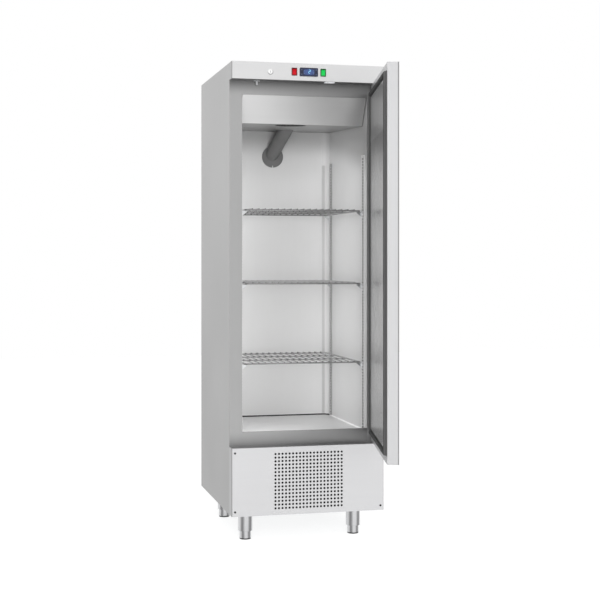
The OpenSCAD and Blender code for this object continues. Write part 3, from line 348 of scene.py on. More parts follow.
def open_door(points):
    """Points of the closed door turned about the hinge pins to where the door stands."""
    cos, sin = math.cos(DOOR_OPEN), math.sin(DOOR_OPEN)
    x, y = points[:, 0] - DOOR_PIVOT[0], points[:, 1] - DOOR_PIVOT[1]
    return np.stack([
        DOOR_PIVOT[0] + cos * x - sin * y, DOOR_PIVOT[1] + sin * x + cos * y, points[:, 2]
    ], 1)


def closed_box(node):
    """Lowest and highest corner of a door node when the door is closed."""
    mesh = frame["nodes"][node].data
    flat = np.empty(len(mesh.vertices) * 3)
    mesh.vertices.foreach_get("co", flat)
    points = flat.reshape(-1, 3) - DOOR_PIVOT
    cos, sin = math.cos(-DOOR_OPEN), math.sin(-DOOR_OPEN)
    x, y = cos * points[:, 0] - sin * points[:, 1], sin * points[:, 0] + cos * points[:, 1]
    points = np.stack([x, y, points[:, 2]], 1) + DOOR_PIVOT
    return points.min(0), points.max(0)


def make_piece(name, points, faces, finish, body, replaced=()):
    """New object from points and groups of faces: welded, with outward normals, riding on its body."""
    mesh = bpy.data.meshes.new(name)
    polygons = sum((np.asarray(group).tolist() for group in faces), [])
    mesh.from_pydata(np.asarray(points).tolist(), [], polygons)
    work = bmesh.new()
    work.from_mesh(mesh)
    bmesh.ops.remove_doubles(work, verts=work.verts, dist=WELD)
    bmesh.ops.recalc_face_normals(work, faces=work.faces)
    work.to_mesh(mesh)
    work.free()
    mesh.shade_smooth()
    mesh.set_sharp_from_angle(angle=SMOOTH_ANGLE)
    mesh.materials.append(finish)
    piece = bpy.data.objects.new(name, mesh)
    bpy.context.scene.collection.objects.link(piece)
    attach(piece, body)
    if replaced:
        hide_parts(*replaced)
    return piece


def mark_turn(piece, spots):
    """Writes on each vertex the unit vector from the axis of the nearest of the upright tubes."""
    mesh = piece.data
    flat = np.empty(len(mesh.vertices) * 3)
    mesh.vertices.foreach_get("co", flat)
    points = flat.reshape(-1, 3)
    reach = points[:, None, :2] - spots[None, :, :2]
    nearest = np.linalg.norm(reach, axis=2).argmin(1)
    reach = reach[np.arange(len(points)), nearest]
    length = np.maximum(np.linalg.norm(reach, axis=1), WELD)
    turn = np.zeros((len(points), 3))
    turn[:, :2] = reach / length[:, None]
    mesh.attributes.new("around", "FLOAT_VECTOR", "POINT").data.foreach_set("vector", turn.ravel())


def dress(finish, *names):
    """Gives solids of the cabinet a finish."""
    for name in names:
        slots = frame["nodes"][name].data.materials
        slots.clear()
        slots.append(finish)


# Finishes


def brushed_steel(name, tone, grain, rough=0.36, metal=0.75, streak=0.05, cloud=0.05, fade=None):
    """Stainless sheet whose fine scratches run along one axis, with soft clouds from handling.

    fade gives the share of painted shade from X, Y and Z.
    """
    skin = material(name)
    across, along, wide = 1400.0, 9.0, 60.0
    scratches = skin.noise([along if axis == grain else across for axis in "xyz"], 3.0, 0.7)
    bands = skin.noise([along / 3 if axis == grain else wide for axis in "xyz"], 2.0, 0.5, (3.1, 1.7, 0.4))
    clouds = skin.noise(2.2, 3.0, 0.45, (5.0, 2.0, 7.0))
    shift = (scratches - 0.5) * streak + (bands - 0.5) * (streak * 0.8) + (clouds - 0.5) * (cloud * 2)
    colour = skin.mix(shift + 0.5, shade(tone, 0.55), shade(tone, 1.45))
    # Painted shade: the colour goes towards a darker copy of the tone by the share that fade gives.
    if fade:
        colour = skin.mix(fade(*skin.axes()), colour, shade(tone, PAINTED_SHADE_TONE))
    return skin.close({
        "Base Color": colour,
        "Metallic": metal,
        "Roughness": rough + (scratches - 0.5) * 0.16 + (clouds - 0.5) * 0.14,
        "Normal": skin.bump(scratches + bands * 0.4, 0.00002),
    })


def panel_painted_shade(node, lip, punched=False):
    """Painted shade on the returns of a bent front panel: lip for those above and below, darker still by the
    side bends.

    In a punched panel a ring of painted shade lies round each of the holes about its middle as well.
    """
    low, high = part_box(node)
    middle = (low + high) / 2
    bend, hole_shade_share = 0.0013, 0.95

    def nearest(value, count):
        """Distance from the nearest of an even number of hole centres, or far beyond the outer ones."""
        grid = value / HOLE_PITCH
        return (grid.fraction() - 0.5).size() * HOLE_PITCH + grid.size().over(count / 2)

    def fade(x, y, z):
        behind = y.ramp(low.y + 0.0006, low.y + 0.0018)
        side = (x - middle.x).size().over((high.x - low.x) / 2 - bend)
        # Painted shade on the side returns, and by lip on the returns above and below.
        dull_and_shade = side * y.ramp(low.y + 0.003, low.y + 0.02, 0.8, 0.5) + (1 - side) * behind * lip
        if not punched:
            return dull_and_shade
        # Painted shade rings each hole so that it looks darker.
        across, up = nearest(x - middle.x, HOLE_COLUMNS), nearest(z - middle.z, HOLE_ROWS)
        return dull_and_shade.most((across * across + up * up).under(HOLE_SHADE_RADIUS ** 2) * hole_shade_share)

    return fade


def case_painted_shade(x, y, z):
    """Painted shade: the casing darkens towards the floor."""
    return z.ramp(0.1, 1.6, 0.36, 0.0)


def frame_painted_shade(x, y, z):
    """Painted shade on the frame, under the control panel, over the lower panel and towards the hinges.

    Its finish is half as bright again as its tone, a painted light which shows on the returns inside the
    opening. On the front, share is the brightness that is left of the tone under the painted shade.
    """
    low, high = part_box("front_frame")
    sill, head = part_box("lower_panel")[1].z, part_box("control_panel")[0].z
    hinges = x.ramp(-0.28, 0.25) - x.ramp(0.2665, 0.268) * 0.9
    top, bottom = z.ramp(head - 0.06, head), z.ramp(sill, sill + 0.06, 1.0, 0.0)
    share = (1 - hinges * (0.34 - top * 0.26 - bottom * 0.16)) * (1 - top * 0.5) * (1 - bottom * 0.3)
    share = share * z.ramp(0.4, 1.5, 0.965, 1.01)
    inside = y.ramp(low.y + 0.0012, low.y + 0.003)
    return (1 - share * 0.667) * (1 / (1 - PAINTED_SHADE_TONE)) * (1 - inside)


def cover_painted_shade(x, y, z):
    """Painted shade on the evaporator cover, towards its right end and on its underside.

    The painted shade is darkest at the fan's opening and on the inner face of the underside.
    """
    low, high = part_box("evaporator_cover")
    edge = low.y + COVER_DEPTH
    under = y.ramp(edge - 0.001, edge + 0.002)
    fan = JOINTS["evaporator_fan_spin"]["pos_m"]
    across, along = x - fan[0], y - fan[1]
    guard = (across * across + along * along).under(GUARD_R ** 2)
    inner = (z - (y - edge) * (RISE / (high.y - edge))).over(low.z + 0.0006)
    right = x.ramp(-0.2, 0.14, 0.0, 0.3) + x.ramp(high.x - 0.085, high.x - 0.002, 0.0, 0.22)
    under_share = 0.68
    return right.most(under * (guard.most(inner) * (1 - under_share) + under_share))


def liner_painted_shade(x, y, z):
    """The liner's shares of painted shade, on its rear wall, its sides and its floor.

    They are highest in the middle of the rear wall and floor, in the rear corners, at the front of
    the side walls, half way up, and in a painted shadow of the evaporator cover. The wall hidden above
    the cover is painted fully dark, and the walls from 1.3 m up are painted a little lighter.
    """
    low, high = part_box("inner_liner")
    middle, half = (low.x + high.x) / 2, (high.x - low.x) / 2 - COVE
    rear_share, corner_share, side_share, floor_share, shade_share = 0.33, 0.55, 0.24, 0.12, 0.45
    bend = high.y - COVE - 0.003
    out = (x - middle) / half
    centre = (1 - out * out).most(0.0)
    rear = y.ramp(bend, high.y - 0.006)
    base = z.ramp(low.z + 0.002, low.z + 0.012, 1.0, 0.0)
    corner = ((x - middle).size() - (half + 0.008)).size().ramp(0.002, 0.011, corner_share, 0.0)
    corner = corner * y.over(bend) * z.ramp(1.48, 1.49, 1.0, 0.35)
    sides = y.ramp(low.y, low.y + 0.4, side_share, 0.0)
    wall = rear * (centre * rear_share + out * 0.04 + 0.05) + (1 - rear) * sides
    level = z.ramp(1.1, 1.3, 1.0, -1.2) + z.ramp(1.4, 1.47, 0.0, 0.65)
    wall = wall + z.ramp(0.5, 0.85, 0.0, 0.06) * level
    plain = wall.most(corner) * (1 - base) + base * (centre * floor_share + 0.02)
    shaded = (z + (high.y - y) * 0.2).ramp(1.51, 1.61, 0.0, shade_share)
    hidden = z.over(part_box("evaporator_cover")[0].z + RISE + 0.004) * y.over(high.y - 0.1)
    return (plain + shaded * (1 - plain)).most(hidden)


def upright_painted_shade(x, y, z):
    """Painted shade on the uprights: the rear ones are darker than the front ones, most on their front
    flanges.

    Every channel is painted dark inside, a painted shade which shows through the slots.
    """
    low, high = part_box("shelf_uprights")
    middle, half = (low.x + high.x) / 2, (high.x - low.x) / 2
    rear_share, flange_share, channel_share = 0.14, 0.5, 0.85
    rear = y.over((low.y + high.y) / 2)
    channel = (x - middle).size().over(half - 0.0066) * (y - (low.y + 0.011)).size().under(0.01)
    flange = y.under(high.y - 0.0205)
    return (rear * (flange * flange_share + rear_share)).most(channel * channel_share)


def lining_painted_reflection(x, y, z):
    """Painted reflection on the door's lining of the dark under the evaporator cover, a band that ends
    sharply above, and a faint painted shade from 0.7 m up.
    """
    band = z.ramp(1.35, 1.5, 0.0, 0.58) * z.ramp(1.525, 1.535, 1.0, 0.3)
    return band.most(z.ramp(0.7, 1.0, 0.0, 0.03))


def door_painted_shade(x, y, z):
    """Painted shade: a dark line along the bend between the door's front and its edges, which darken towards
    the floor.
    """
    cos, sin = math.cos(DOOR_OPEN), math.sin(DOOR_OPEN)
    front = closed_box("door_skin")[0][1] - DOOR_PIVOT[1]
    depth = (y - DOOR_PIVOT[1]) * cos - (x - DOOR_PIVOT[0]) * sin - front
    bend_share = 0.75
    line = depth.ramp(0.0008, 0.0018) * depth.ramp(0.004, 0.0065, bend_share, 0.0)
    return line.most(z.ramp(0.35, 1.6, 0.18, 0.03))


def polished_steel(name, tone, rough=0.16):
    """Bright wire and tube: near mirror, with faint drawing marks."""
    skin = material(name)
    marks = skin.noise(240.0, 2.0, 0.6)
    dull_and_shade = skin.noise(18.0, 2.0, 0.5, (1.0, 2.0, 3.0))
    return skin.close({
        "Base Color": skin.mix(marks * 0.4 + dull_and_shade * 0.4, shade(tone, 0.8), shade(tone, 1.12)),
        "Metallic": 1.0,
        "Roughness": rough + marks * 0.08 + dull_and_shade * 0.1,
        "Normal": skin.bump(marks, 0.00001),
    })


def moulded_plastic(name, tone, rough=0.45):
    """Moulded plastic with a fine spark-eroded grain."""
    skin = material(name)
    texture = skin.noise(900.0, 3.0, 0.6)
    tint = skin.noise(12.0, 2.0, 0.5, (2.0, 5.0, 1.0))
    return skin.close({
        "Base Color": skin.mix(tint, shade(tone, 0.9), shade(tone, 1.1)),
        "Roughness": rough + (texture - 0.5) * 0.12,
        "Normal": skin.bump(texture, 0.00003),
    })


def soft_rubber(name, tone):
    """Matt rubber with a faint bloom."""
    skin = material(name)
    bloom = skin.noise((35.0, 35.0, 9.0), 3.0, 0.6)
    pores = skin.noise(700.0, 2.0, 0.6)
    return skin.close({
        "Base Color": skin.mix(bloom, shade(tone, 0.8), shade(tone, 1.2)),
        "Roughness": 0.62 + bloom * 0.16,
        "Specular IOR Level": 0.02,
        "Normal": skin.bump(pores, 0.00004),
    })


def rigid_foam(name, tone):
    """Cream foam with fine cells."""
    skin = material(name)
    cells = skin.node("ShaderNodeTexVoronoi", links={"Vector": skin.place(), "Scale": 520.0})
    stain = skin.noise(7.0, 3.0, 0.5)
    return skin.close({
        "Base Color": skin.mix(stain, shade(tone, 0.85), shade(tone, 1.1)),
        "Roughness": 0.85 + stain * 0.1,
        "Normal": skin.bump(cells, 0.0002),
    })


def drawn_copper(name, tone):
    """Copper tube with brown heat marks."""
    skin = material(name)
    heat = skin.noise(14.0, 3.0, 0.55)
    marks = skin.noise(300.0, 2.0, 0.6)
    return skin.close({
        "Base Color": skin.mix(heat.ramp(0.45, 0.75), tone, shade(tone, 0.45)),
        "Metallic": 1.0,
        "Roughness": 0.3 + heat * 0.25,
        "Normal": skin.bump(marks, 0.00002),
    })


def black_paint(name, tone):
    """Black stoved paint with a little orange peel and dust on top."""
    skin = material(name)
    peel = skin.noise(260.0)
    dust = skin.noise(20.0, 4.0, 0.6, (3.0, 1.0, 2.0))
    return skin.close({
        "Base Color": skin.mix(dust.ramp(0.5, 0.9), tone, shade(tone, 2.5)),
        "Roughness": 0.35 + dust * 0.3,
        "Normal": skin.bump(peel, 0.00006),
    })


def switch_bezels(name, left, right, middle):
    """Tinted switch bezels: one colour left of the middle and another right of it."""
    skin = material(name)
    grain = skin.noise(500.0)
    tint = skin.mix(skin.axes()[0].over(middle), left, right)
    return skin.close({
        "Base Color": skin.mix(grain * 0.4, tint, (0.02, 0.02, 0.02)),
        "Roughness": 0.3 + grain * 0.1,
        "Normal": skin.bump(grain, 0.00002),
    })


def lock_steel(name, node):
    """Near-white lock face, a painted sheen, inside a flange with a painted shadow that is darkest below."""
    low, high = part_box(node)
    skin = material(name)
    x, _, z = skin.axes()
    across, upward = x - (low.x + high.x) / 2, z - (low.z + high.z) / 2
    radius = skin.math("SQRT", across * across + upward * upward)
    # Painted shadow on the flange, darkest at its lower side.
    rim = radius.ramp(0.0075, 0.009) * (upward - across * 0.5).ramp(-0.008, 0.01, 0.75, 0.1)
    rings = skin.math("SINE", radius * 6000.0)
    return skin.close({
        "Base Color": skin.mix(rim, (0.95, 0.95, 0.95), (0.12, 0.12, 0.12)),
        "Metallic": 0.2,
        "Roughness": 0.3 + rings * 0.05,
        "Normal": skin.bump(rings, 0.00001),
    })


def window_finish(name, rim, glow, node):
    """Tinted window over a lit display: the glow is strongest in the middle and fades to the rim."""
    low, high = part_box(node)
    skin = material(name)
    x, _, z = skin.axes()
    across = (x - (low.x + high.x) / 2) / ((high.x - low.x) / 2)
    upward = (z - (low.z + high.z) / 2) / ((high.z - low.z) / 2)
    centre = (across * across + upward * upward).ramp(0.1, 1.6, 1.0, 0.0)
    grid = skin.node(
        "ShaderNodeTexVoronoi", {"distance": "CHEBYCHEV"}, {"Vector": skin.place(), "Scale": 900.0}
    )
    lit = skin.mix(centre * 0.9 + grid * 0.1, shade(rim, 0.6), glow)
    return skin.close({
        "Base Color": skin.mix(centre, rim, shade(glow, 0.7)),
        "Roughness": 0.12 + grid * 0.05,
        "Coat Weight": 0.5,
        "Emission Color": lit,
        "Emission Strength": 0.4,
        "Normal": skin.bump(grid, 0.00001),
    })


def lit_marks(name, glow):
    """Light seen through the window."""
    skin = material(name)
    haze = skin.noise(500.0, 1.0)
    return skin.close({
        "Base Color": skin.mix(haze, shade(glow, 0.5), shade(glow, 0.6)),
        "Roughness": 0.3,
        "Emission Color": skin.mix(haze, shade(glow, 0.85), glow),
        "Emission Strength": 0.9,
    })


def lit_plastic(name, tone, glow, power):
    """Coloured translucent plastic with a lamp behind it."""
    skin = material(name)
    swirl = skin.noise(90.0, 3.0, 0.6)
    return skin.close({
        "Base Color": skin.mix(swirl, shade(tone, 0.75), tone),
        "Roughness": 0.22 + swirl * 0.12,
        "Specular IOR Level": 0.2,
        "Emission Color": skin.mix(swirl, shade(glow, 0.7), glow),
        "Emission Strength": power,
        "Normal": skin.bump(swirl, 0.00003),
    })


def leg_steel(name, tone):
    """Polished tube: two dark bands along it, a painted reflection, by the angle round the tube that its mesh
    carries.
    """
    skin = material(name)
    around = skin.node("ShaderNodeAttribute", {"attribute_name": "around"}, out="Vector")
    split = skin.node("ShaderNodeSeparateXYZ", links={0: around}).socket.node
    cos, sin = (Signal(skin, split.outputs[i]) for i in range(2))
    angle = skin.math("ARCTAN2", sin, cos)
    wobble = skin.noise((3.0, 3.0, 14.0)) - 0.5
    turn = angle + wobble * 0.12
    # Painted reflection: two dark bands at fixed angles round each tube.
    left, right = ((turn + band).size().ramp(0.04, 0.46, 0.74, 0.0) for band in (2.19, 1.02))
    dark = left.most(right)
    marks = skin.noise((240.0, 240.0, 30.0), 2.0, 0.6)
    return skin.close({
        "Base Color": skin.mix(dark + (marks - 0.5) * 0.1, tone, shade(tone, 0.12)),
        "Metallic": 1.0,
        "Roughness": 0.14 + marks * 0.1,
        "Normal": skin.bump(marks, 0.00001),
    })


def fin_pack(name, tone, bare=None, corner=None):
    """Thin fins with dust on their edges, and a corner that was left bare."""
    skin = material(name)
    dust = skin.noise(40.0, 3.0, 0.6)
    ripple = skin.noise((5.0, 300.0, 300.0))
    colour = skin.mix(dust.ramp(0.4, 0.8), tone, shade(tone, 0.55))
    if bare:
        x, _, z = skin.axes()
        colour = skin.mix(x.over(corner[0]) * z.over(corner[1]), colour, bare)
    return skin.close({
        "Base Color": colour,
        "Metallic": 0.9,
        "Roughness": 0.32 + dust * 0.25,
        "Normal": skin.bump(ripple, 0.00004),
    })


def seen_directly(finish):
    """1 for a ray of the camera, of a mirroring surface or through a clear one, 0 for one that lights."""
    rays = finish.node("ShaderNodeLightPath", out="Is Camera Ray")
    glossy, clear = (
        Signal(finish, rays.socket.node.outputs[name]) for name in ("Is Glossy Ray", "Is Transmission Ray")
    )
    return rays.most(glossy).most(clear)


# Settings shown in the sidebar


class CabinetFinishes(bpy.types.PropertyGroup):
    """Colours of the cabinet's surfaces."""

    case_tone: FloatVectorProperty(
        name="Casing", description="Steel of the side and top panels", default=(0.463, 0.463, 0.463),
        size=3, min=0, max=1, subtype="COLOR")
    front_tone: FloatVectorProperty(
        name="Front", description="Steel of the control panel, the lower panel and the door's skin",
        default=(0.72, 0.72, 0.73), size=3, min=0, max=1, subtype="COLOR")
    frame_tone: FloatVectorProperty(
        name="Frame", description="Steel of the frame round the opening", default=(0.42, 0.42, 0.42),
        size=3, min=0, max=1, subtype="COLOR")
    liner_tone: FloatVectorProperty(
        name="Liner", description="Steel of the compartment's walls", default=(0.93, 0.93, 0.93),
        size=3, min=0, max=1, subtype="COLOR")
    door_tone: FloatVectorProperty(
        name="Door lining", description="Steel of the door's inner panel", default=(0.545, 0.545, 0.545),
        size=3, min=0, max=1, subtype="COLOR")
    leg_tone: FloatVectorProperty(
        name="Legs", description="Polished steel of the legs", default=(0.61, 0.61, 0.62),
        size=3, min=0, max=1, subtype="COLOR")
    gasket_tone: FloatVectorProperty(
        name="Gasket", description="Rubber of the door's gasket", default=(0.11, 0.11, 0.11),
        size=3, min=0, max=1, subtype="COLOR")
    window_tone: FloatVectorProperty(
        name="Window", description="Glow in the middle of the display", default=(0.03, 0.075, 0.25),
        size=3, min=0, max=1, subtype="COLOR")


class CabinetTrim(bpy.types.PropertyGroup):
    """Sizes of the fine trim."""

    digit: IntProperty(name="Digit", description="Number that the display shows", default=2, min=0, max=9)
    digit_height: FloatProperty(
        name="Digit height", description="Height of the lit digit", default=0.0125, min=0.005, max=0.018,
        unit="LENGTH")
    digit_slant: FloatProperty(
        name="Digit slant", description="Lean of the digit to the right", default=math.radians(9), min=0,
        max=math.radians(15), subtype="ANGLE")
    screw_head: FloatProperty(
        name="Screw head", description="Height of a screw's dome above the sheet", default=0.002, min=0.001,
        max=0.002, unit="LENGTH")
    hood_depth: FloatProperty(
        name="Louvre depth", description="How far the rear louvres stand out", default=0.005, min=0.002,
        max=0.008, unit="LENGTH")
    # The pale side beads are painted highlights of the floor's bends; the dark rear bead is sealant that also
    # stands in for the shade in its joint.
    bead: FloatProperty(
        name="Bead", description="Radius of the sealing beads on the compartment's floor", default=0.005,
        min=0.002, max=0.008, unit="LENGTH")


class CabinetStudio(bpy.types.PropertyGroup):
    """Light, floor and camera."""

    ambient: FloatProperty(
        name="Ambient light", description="Strength of the white surroundings", default=0.5, min=0, max=2)
    key_power: FloatProperty(
        name="Key lamp", description="Power of the lamp at the front right", default=30, min=0, max=1000,
        unit="POWER")
    fill_power: FloatProperty(
        name="Fill lamp", description="Power of the lamp at the front left", default=170, min=0, max=1000,
        unit="POWER")
    inside_power: FloatProperty(
        name="Compartment lamp", description="Power of the lamp in the door's opening", default=3.6, min=0,
        max=50, unit="POWER")
    lamp_size: FloatProperty(
        name="Lamp size", description="Side of each lamp", default=3.0, min=0.5, max=6, unit="LENGTH")
    floor_lift: FloatProperty(
        name="Floor lift", description="Brightness that the camera sees on the floor without light",
        default=0.8, min=0, max=1)
    lens: FloatProperty(
        name="Focal length", description="Focal length on a 36 mm wide picture", default=75.391, min=20,
        max=200, subtype="DISTANCE_CAMERA")
    camera_place: FloatVectorProperty(
        name="Camera", description="Where the camera stands", default=(-1.187871, -4.96296, 1.068048), size=3,
        subtype="TRANSLATION")
    camera_turn: FloatProperty(
        name="Camera turn", description="Turn of the camera about the upright", default=math.radians(-14.04),
        subtype="ANGLE")


# Operators


class CABINET_OT_finishes(bpy.types.Operator):
    """Gives every solid of the cabinet its finish"""

    bl_idname = "cabinet.finishes"
    bl_label = "Finishes"

    def execute(self, context):
        look = context.scene.cabinet_finishes
        case, front, lining = look.case_tone, look.front_tone, look.liner_tone
        dress(brushed_steel("case_steel", case, "z", fade=case_painted_shade), "left_side_panel", "right_side_panel",
              "top_panel")
        # The control panel's copy of the front steel is painted lighter, and the lower panel's and the door's
        # darker: painted light and shade on one steel.
        for name, factor, lip, punched in (
            ("control_panel", 1.16, 0.8, False), ("lower_panel", 0.935, 0.45, True)
        ):
            fade = panel_painted_shade(name, lip, punched)
            dress(brushed_steel(name + "_steel", shade(front, factor), "x", fade=fade), name)
        dress(brushed_steel("door_steel", shade(front, 0.94), "z", fade=door_painted_shade), "door_skin")
        # The frame's copy is half as bright again as its tone: painted light on its returns, under the
        # painted shade of its front.
        dress(brushed_steel("frame_steel", shade(look.frame_tone, 1.5), "z", fade=frame_painted_shade), "front_frame")
        dress(brushed_steel("liner_steel", lining, "z", rough=0.42, metal=0.3, fade=liner_painted_shade),
              "inner_liner")
        # The uprights' and the cover's copies of the liner steel are painted darker: painted shade on one
        # steel.
        dress(brushed_steel("upright_steel", shade(lining, 0.84), "z", rough=0.42, metal=0.4,
                            fade=upright_painted_shade), "shelf_uprights")
        dress(brushed_steel("cover_steel", shade(lining, 0.78), "x", rough=0.4, fade=cover_painted_shade),
              "evaporator_cover")
        dress(brushed_steel("door_lining_steel", look.door_tone, "z", rough=0.29, metal=0.9,
                            fade=lining_painted_reflection), "door_inner_panel")
        zinc = brushed_steel("zinc_sheet", ZINC, "x", rough=0.5, metal=0.8, streak=0.12, cloud=0.16)
        dress(zinc, "rear_panel", "rear_grille", "base_tray", "evaporator_motor", "condenser_motor")
        bright = polished_steel("bright_steel", BRIGHT_STEEL)
        dress(bright, "lock_cam", "upper_hinge", "lower_hinge", "panel_screws", "shelf_clips")
        dress(polished_steel("wire_steel", WIRE_STEEL), "top_shelf", "middle_shelf", "bottom_shelf")
        dress(lock_steel("lock_face_steel", "lock_body"), "lock_body", "lock_barrel")
        dress(leg_steel("leg_steel", look.leg_tone), "leg_sleeves", *FEET)
        dress(rigid_foam("insulation_foam", FOAM), "foam_insulation", "door_foam")
        dress(moulded_plastic("case_plastic", NAVY, rough=0.35), "controller_case")
        black = moulded_plastic("black_moulding", BLACK)
        dress(black, "evaporator_fan", "condenser_fan", "condenser_shroud", "evaporation_tray", "cable_gland",
              "door_bushes")
        low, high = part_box("controller_case")
        dress(switch_bezels("switch_bezels", RED_BEZEL, GREEN_BEZEL, (low.x + high.x) / 2), "switch_housings")
        dress(moulded_plastic("duct_plastic", DUCT_GREY, rough=0.5), "air_duct", "drain_pipe")
        dress(moulded_plastic("pale_plastic", PALE_GREY, rough=0.4), "door_sensor", "terminal_box")
        dress(moulded_plastic("key_plastic", KEY_BLUE, rough=0.4), "upper_left_key", "lower_left_key",
              "upper_right_key", "lower_right_key")
        dress(lit_plastic("lens_plastic", LENS, LENS_GLOW, power=0.35), "lamp_lens")
        dress(window_finish("window_blue", WINDOW_RIM, look.window_tone, "display_window"),
              "display_window")
        dress(lit_plastic("red_plastic", RED, RED_GLOW, power=0.08), "red_rocker")
        dress(lit_plastic("green_plastic", GREEN, GREEN_GLOW, power=0.3), "green_rocker")
        dress(soft_rubber("seal_rubber", look.gasket_tone), "door_gasket", "compressor_mounts")
        dress(drawn_copper("copper_pipe", COPPER), "refrigerant_pipes", "filter_drier")
        dress(fin_pack("fin_aluminium", FINS), "evaporator_coil")
        dress(fin_pack("painted_fins", PAINTED_FINS, bare=BARE_FINS, corner=(0.132, 0.246)),
              "condenser_coil")
        dress(black_paint("painted_steel", BLACK), "compressor")
        bare = sorted(name for name, node in frame["nodes"].items() if not node.data.materials)
        if bare:
            raise RuntimeError(f"no finish for {bare}")
        return {"FINISHED"}


# X and Z of both ends of a digit's seven bars, and which bars each digit from 0 to 9 lights
SEGMENT_ENDS = np.array([
    [0, 2, 1, 2], [1, 2, 1, 1], [1, 1, 1, 0], [0, 0, 1, 0], [0, 1, 0, 0], [0, 2, 0, 1], [0, 1, 1, 1]
], float) / 2
LIT_SEGMENTS = ("012345", "12", "01346", "01236", "1256", "02356", "023456", "012", "0123456", "012356")


class CABINET_OT_display_marks(bpy.types.Operator):
    """Puts the lit digit and the small lit marks on the display window"""

    bl_idname = "cabinet.display_marks"
    bl_label = "Display marks"

    def execute(self, context):
        trim = context.scene.cabinet_trim
        low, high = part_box("display_window")
        front, middle, film = low.y, (low.z + high.z) / 2, 0.0002
        lit = [int(c) for c in LIT_SEGMENTS[trim.digit]]
        size = trim.digit_height
        width, bar = size * 1.1, size * 0.075
        ends = SEGMENT_ENDS[lit].reshape(-1, 2, 2) * np.array([width, size])
        run = ends[:, 1] - ends[:, 0]
        along = run / np.linalg.norm(run, axis=1)[:, None]
        side = along[:, ::-1] * np.array([-1, 1])
        start, stop = ends[:, 0] + along * bar * 0.3, ends[:, 1] - along * bar * 0.3
        outlines = np.stack([
            start, start + (along + side) * bar, stop + (side - along) * bar, stop,
            stop - (along + side) * bar, start + (along - side) * bar
        ], 1)
        outlines[..., 0] += outlines[..., 1] * math.tan(trim.digit_slant)
        outlines += np.array([(low.x + high.x) / 2 - size * 0.18, middle - size * 0.33])
        points, faces = outline_prisms(outlines, front - film, front + film)
        digit = lit_marks("digit_glow", DIGIT_GLOW)
        make_piece("display_digit", points, faces, digit, "cabinet")

        lamp_r, step, inset = 0.0008, 0.006, 0.004
        round_edge = np.linspace(0, 2 * np.pi, 10, endpoint=False)
        ring = np.stack([np.cos(round_edge), np.sin(round_edge)], 1) * lamp_r
        sides = (low.x + inset, high.x - inset)
        spots = np.array([(x, middle + k * step) for x in sides for k in (-1, 0, 1)])
        points, faces = outline_prisms(spots[:, None] + ring[None], front - film, front + film)
        marks = lit_marks("mark_glow", MARK_GLOW)
        make_piece("display_lamps", points, faces, marks, "cabinet")
        return {"FINISHED"}


class CABINET_OT_screws(bpy.types.Operator):
    """Makes the cross-recessed screws of the lower panel and of the rear"""

    bl_idname = "cabinet.screws"
    bl_label = "Screws"

    def execute(self, context):
        trim = context.scene.cabinet_trim
        low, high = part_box("panel_screws")
        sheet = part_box("lower_panel")[0].y
        head_r, inset = 0.004, 0.012
        points, faces = screw_surface(
            head_r, sheet - low.y, shank_r=0.002, shank_l=0.0095, recess=(0.0024, 0.0006, 0.0011),
            rings=18, turns=48)
        sides, heights = (low.x + head_r, high.x - head_r), (low.z + head_r, high.z - head_r)
        places = np.array([[x, sheet, z] for x in sides for z in heights])
        points, faces = copies(facing_front(points), faces, places)
        steel = polished_steel("screw_steel", SCREW_STEEL, rough=0.4)
        make_piece("lower_panel_screws", points, [faces], steel, "cabinet", ["panel_screws"])

        grille_low, grille_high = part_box("rear_grille")
        panel_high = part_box("rear_panel")[1]
        sides = (grille_low.x + inset, grille_high.x - inset)
        heights = [grille_low.z + inset, (grille_low.z + grille_high.z) / 2, grille_high.z - inset]
        heights += list(np.linspace(grille_high.z + inset, panel_high.z - inset, 6))
        places = np.array([[x, grille_high.y, z] for x in sides for z in heights])
        points, faces = screw_surface(
            head_r, trim.screw_head, shank_r=0.0018, shank_l=0.006, recess=(0.0022, 0.0006, 0.001),
            rings=12, turns=32)
        points, faces = copies(facing_back(points), faces, places)
        make_piece("rear_screws", points, [faces], steel, "cabinet")
        return {"FINISHED"}


# Inset from the gasket's outer edge and rise from the door's lining, in millimetres
GASKET_PROFILE = np.array([
    (0, 0), (0, 3.2), (0.3, 3.7), (0.8, 4), (2, 4.4), (2.2, 9), (2.5, 11.4), (3.1, 13.2), (4, 14.6),
    (5.2, 15.3), (11.8, 15.3), (13.4, 14.8), (14.5, 13.4), (15.1, 11.2), (15.3, 9), (15.4, 4.4), (19.5, 4),
    (19.7, 6.6), (20, 7.6), (20.8, 8), (22.6, 8), (23.1, 7.6), (23.3, 6.8), (23.4, 4), (23.8, 3.7),
    (24, 3.2), (24, 0)
])


class CABINET_OT_door_gasket(bpy.types.Operator):
    """Makes the magnetic gasket: a hollow-looking lip and a small second lip, mitred at the corners"""

    bl_idname = "cabinet.door_gasket"
    bl_label = "Door gasket"

    def execute(self, context):
        low, high = closed_box("door_gasket")
        profile = GASKET_PROFILE * MM
        profile[:, 1] *= (high[1] - low[1]) / profile[:, 1].max()
        points, faces = frame_sweep(low[[0, 2]], high[[0, 2]], low[1], profile)
        rubber = bpy.data.materials["seal_rubber"]
        make_piece("door_seal", open_door(points), [faces], rubber, "door", ["door_gasket"])
        return {"FINISHED"}


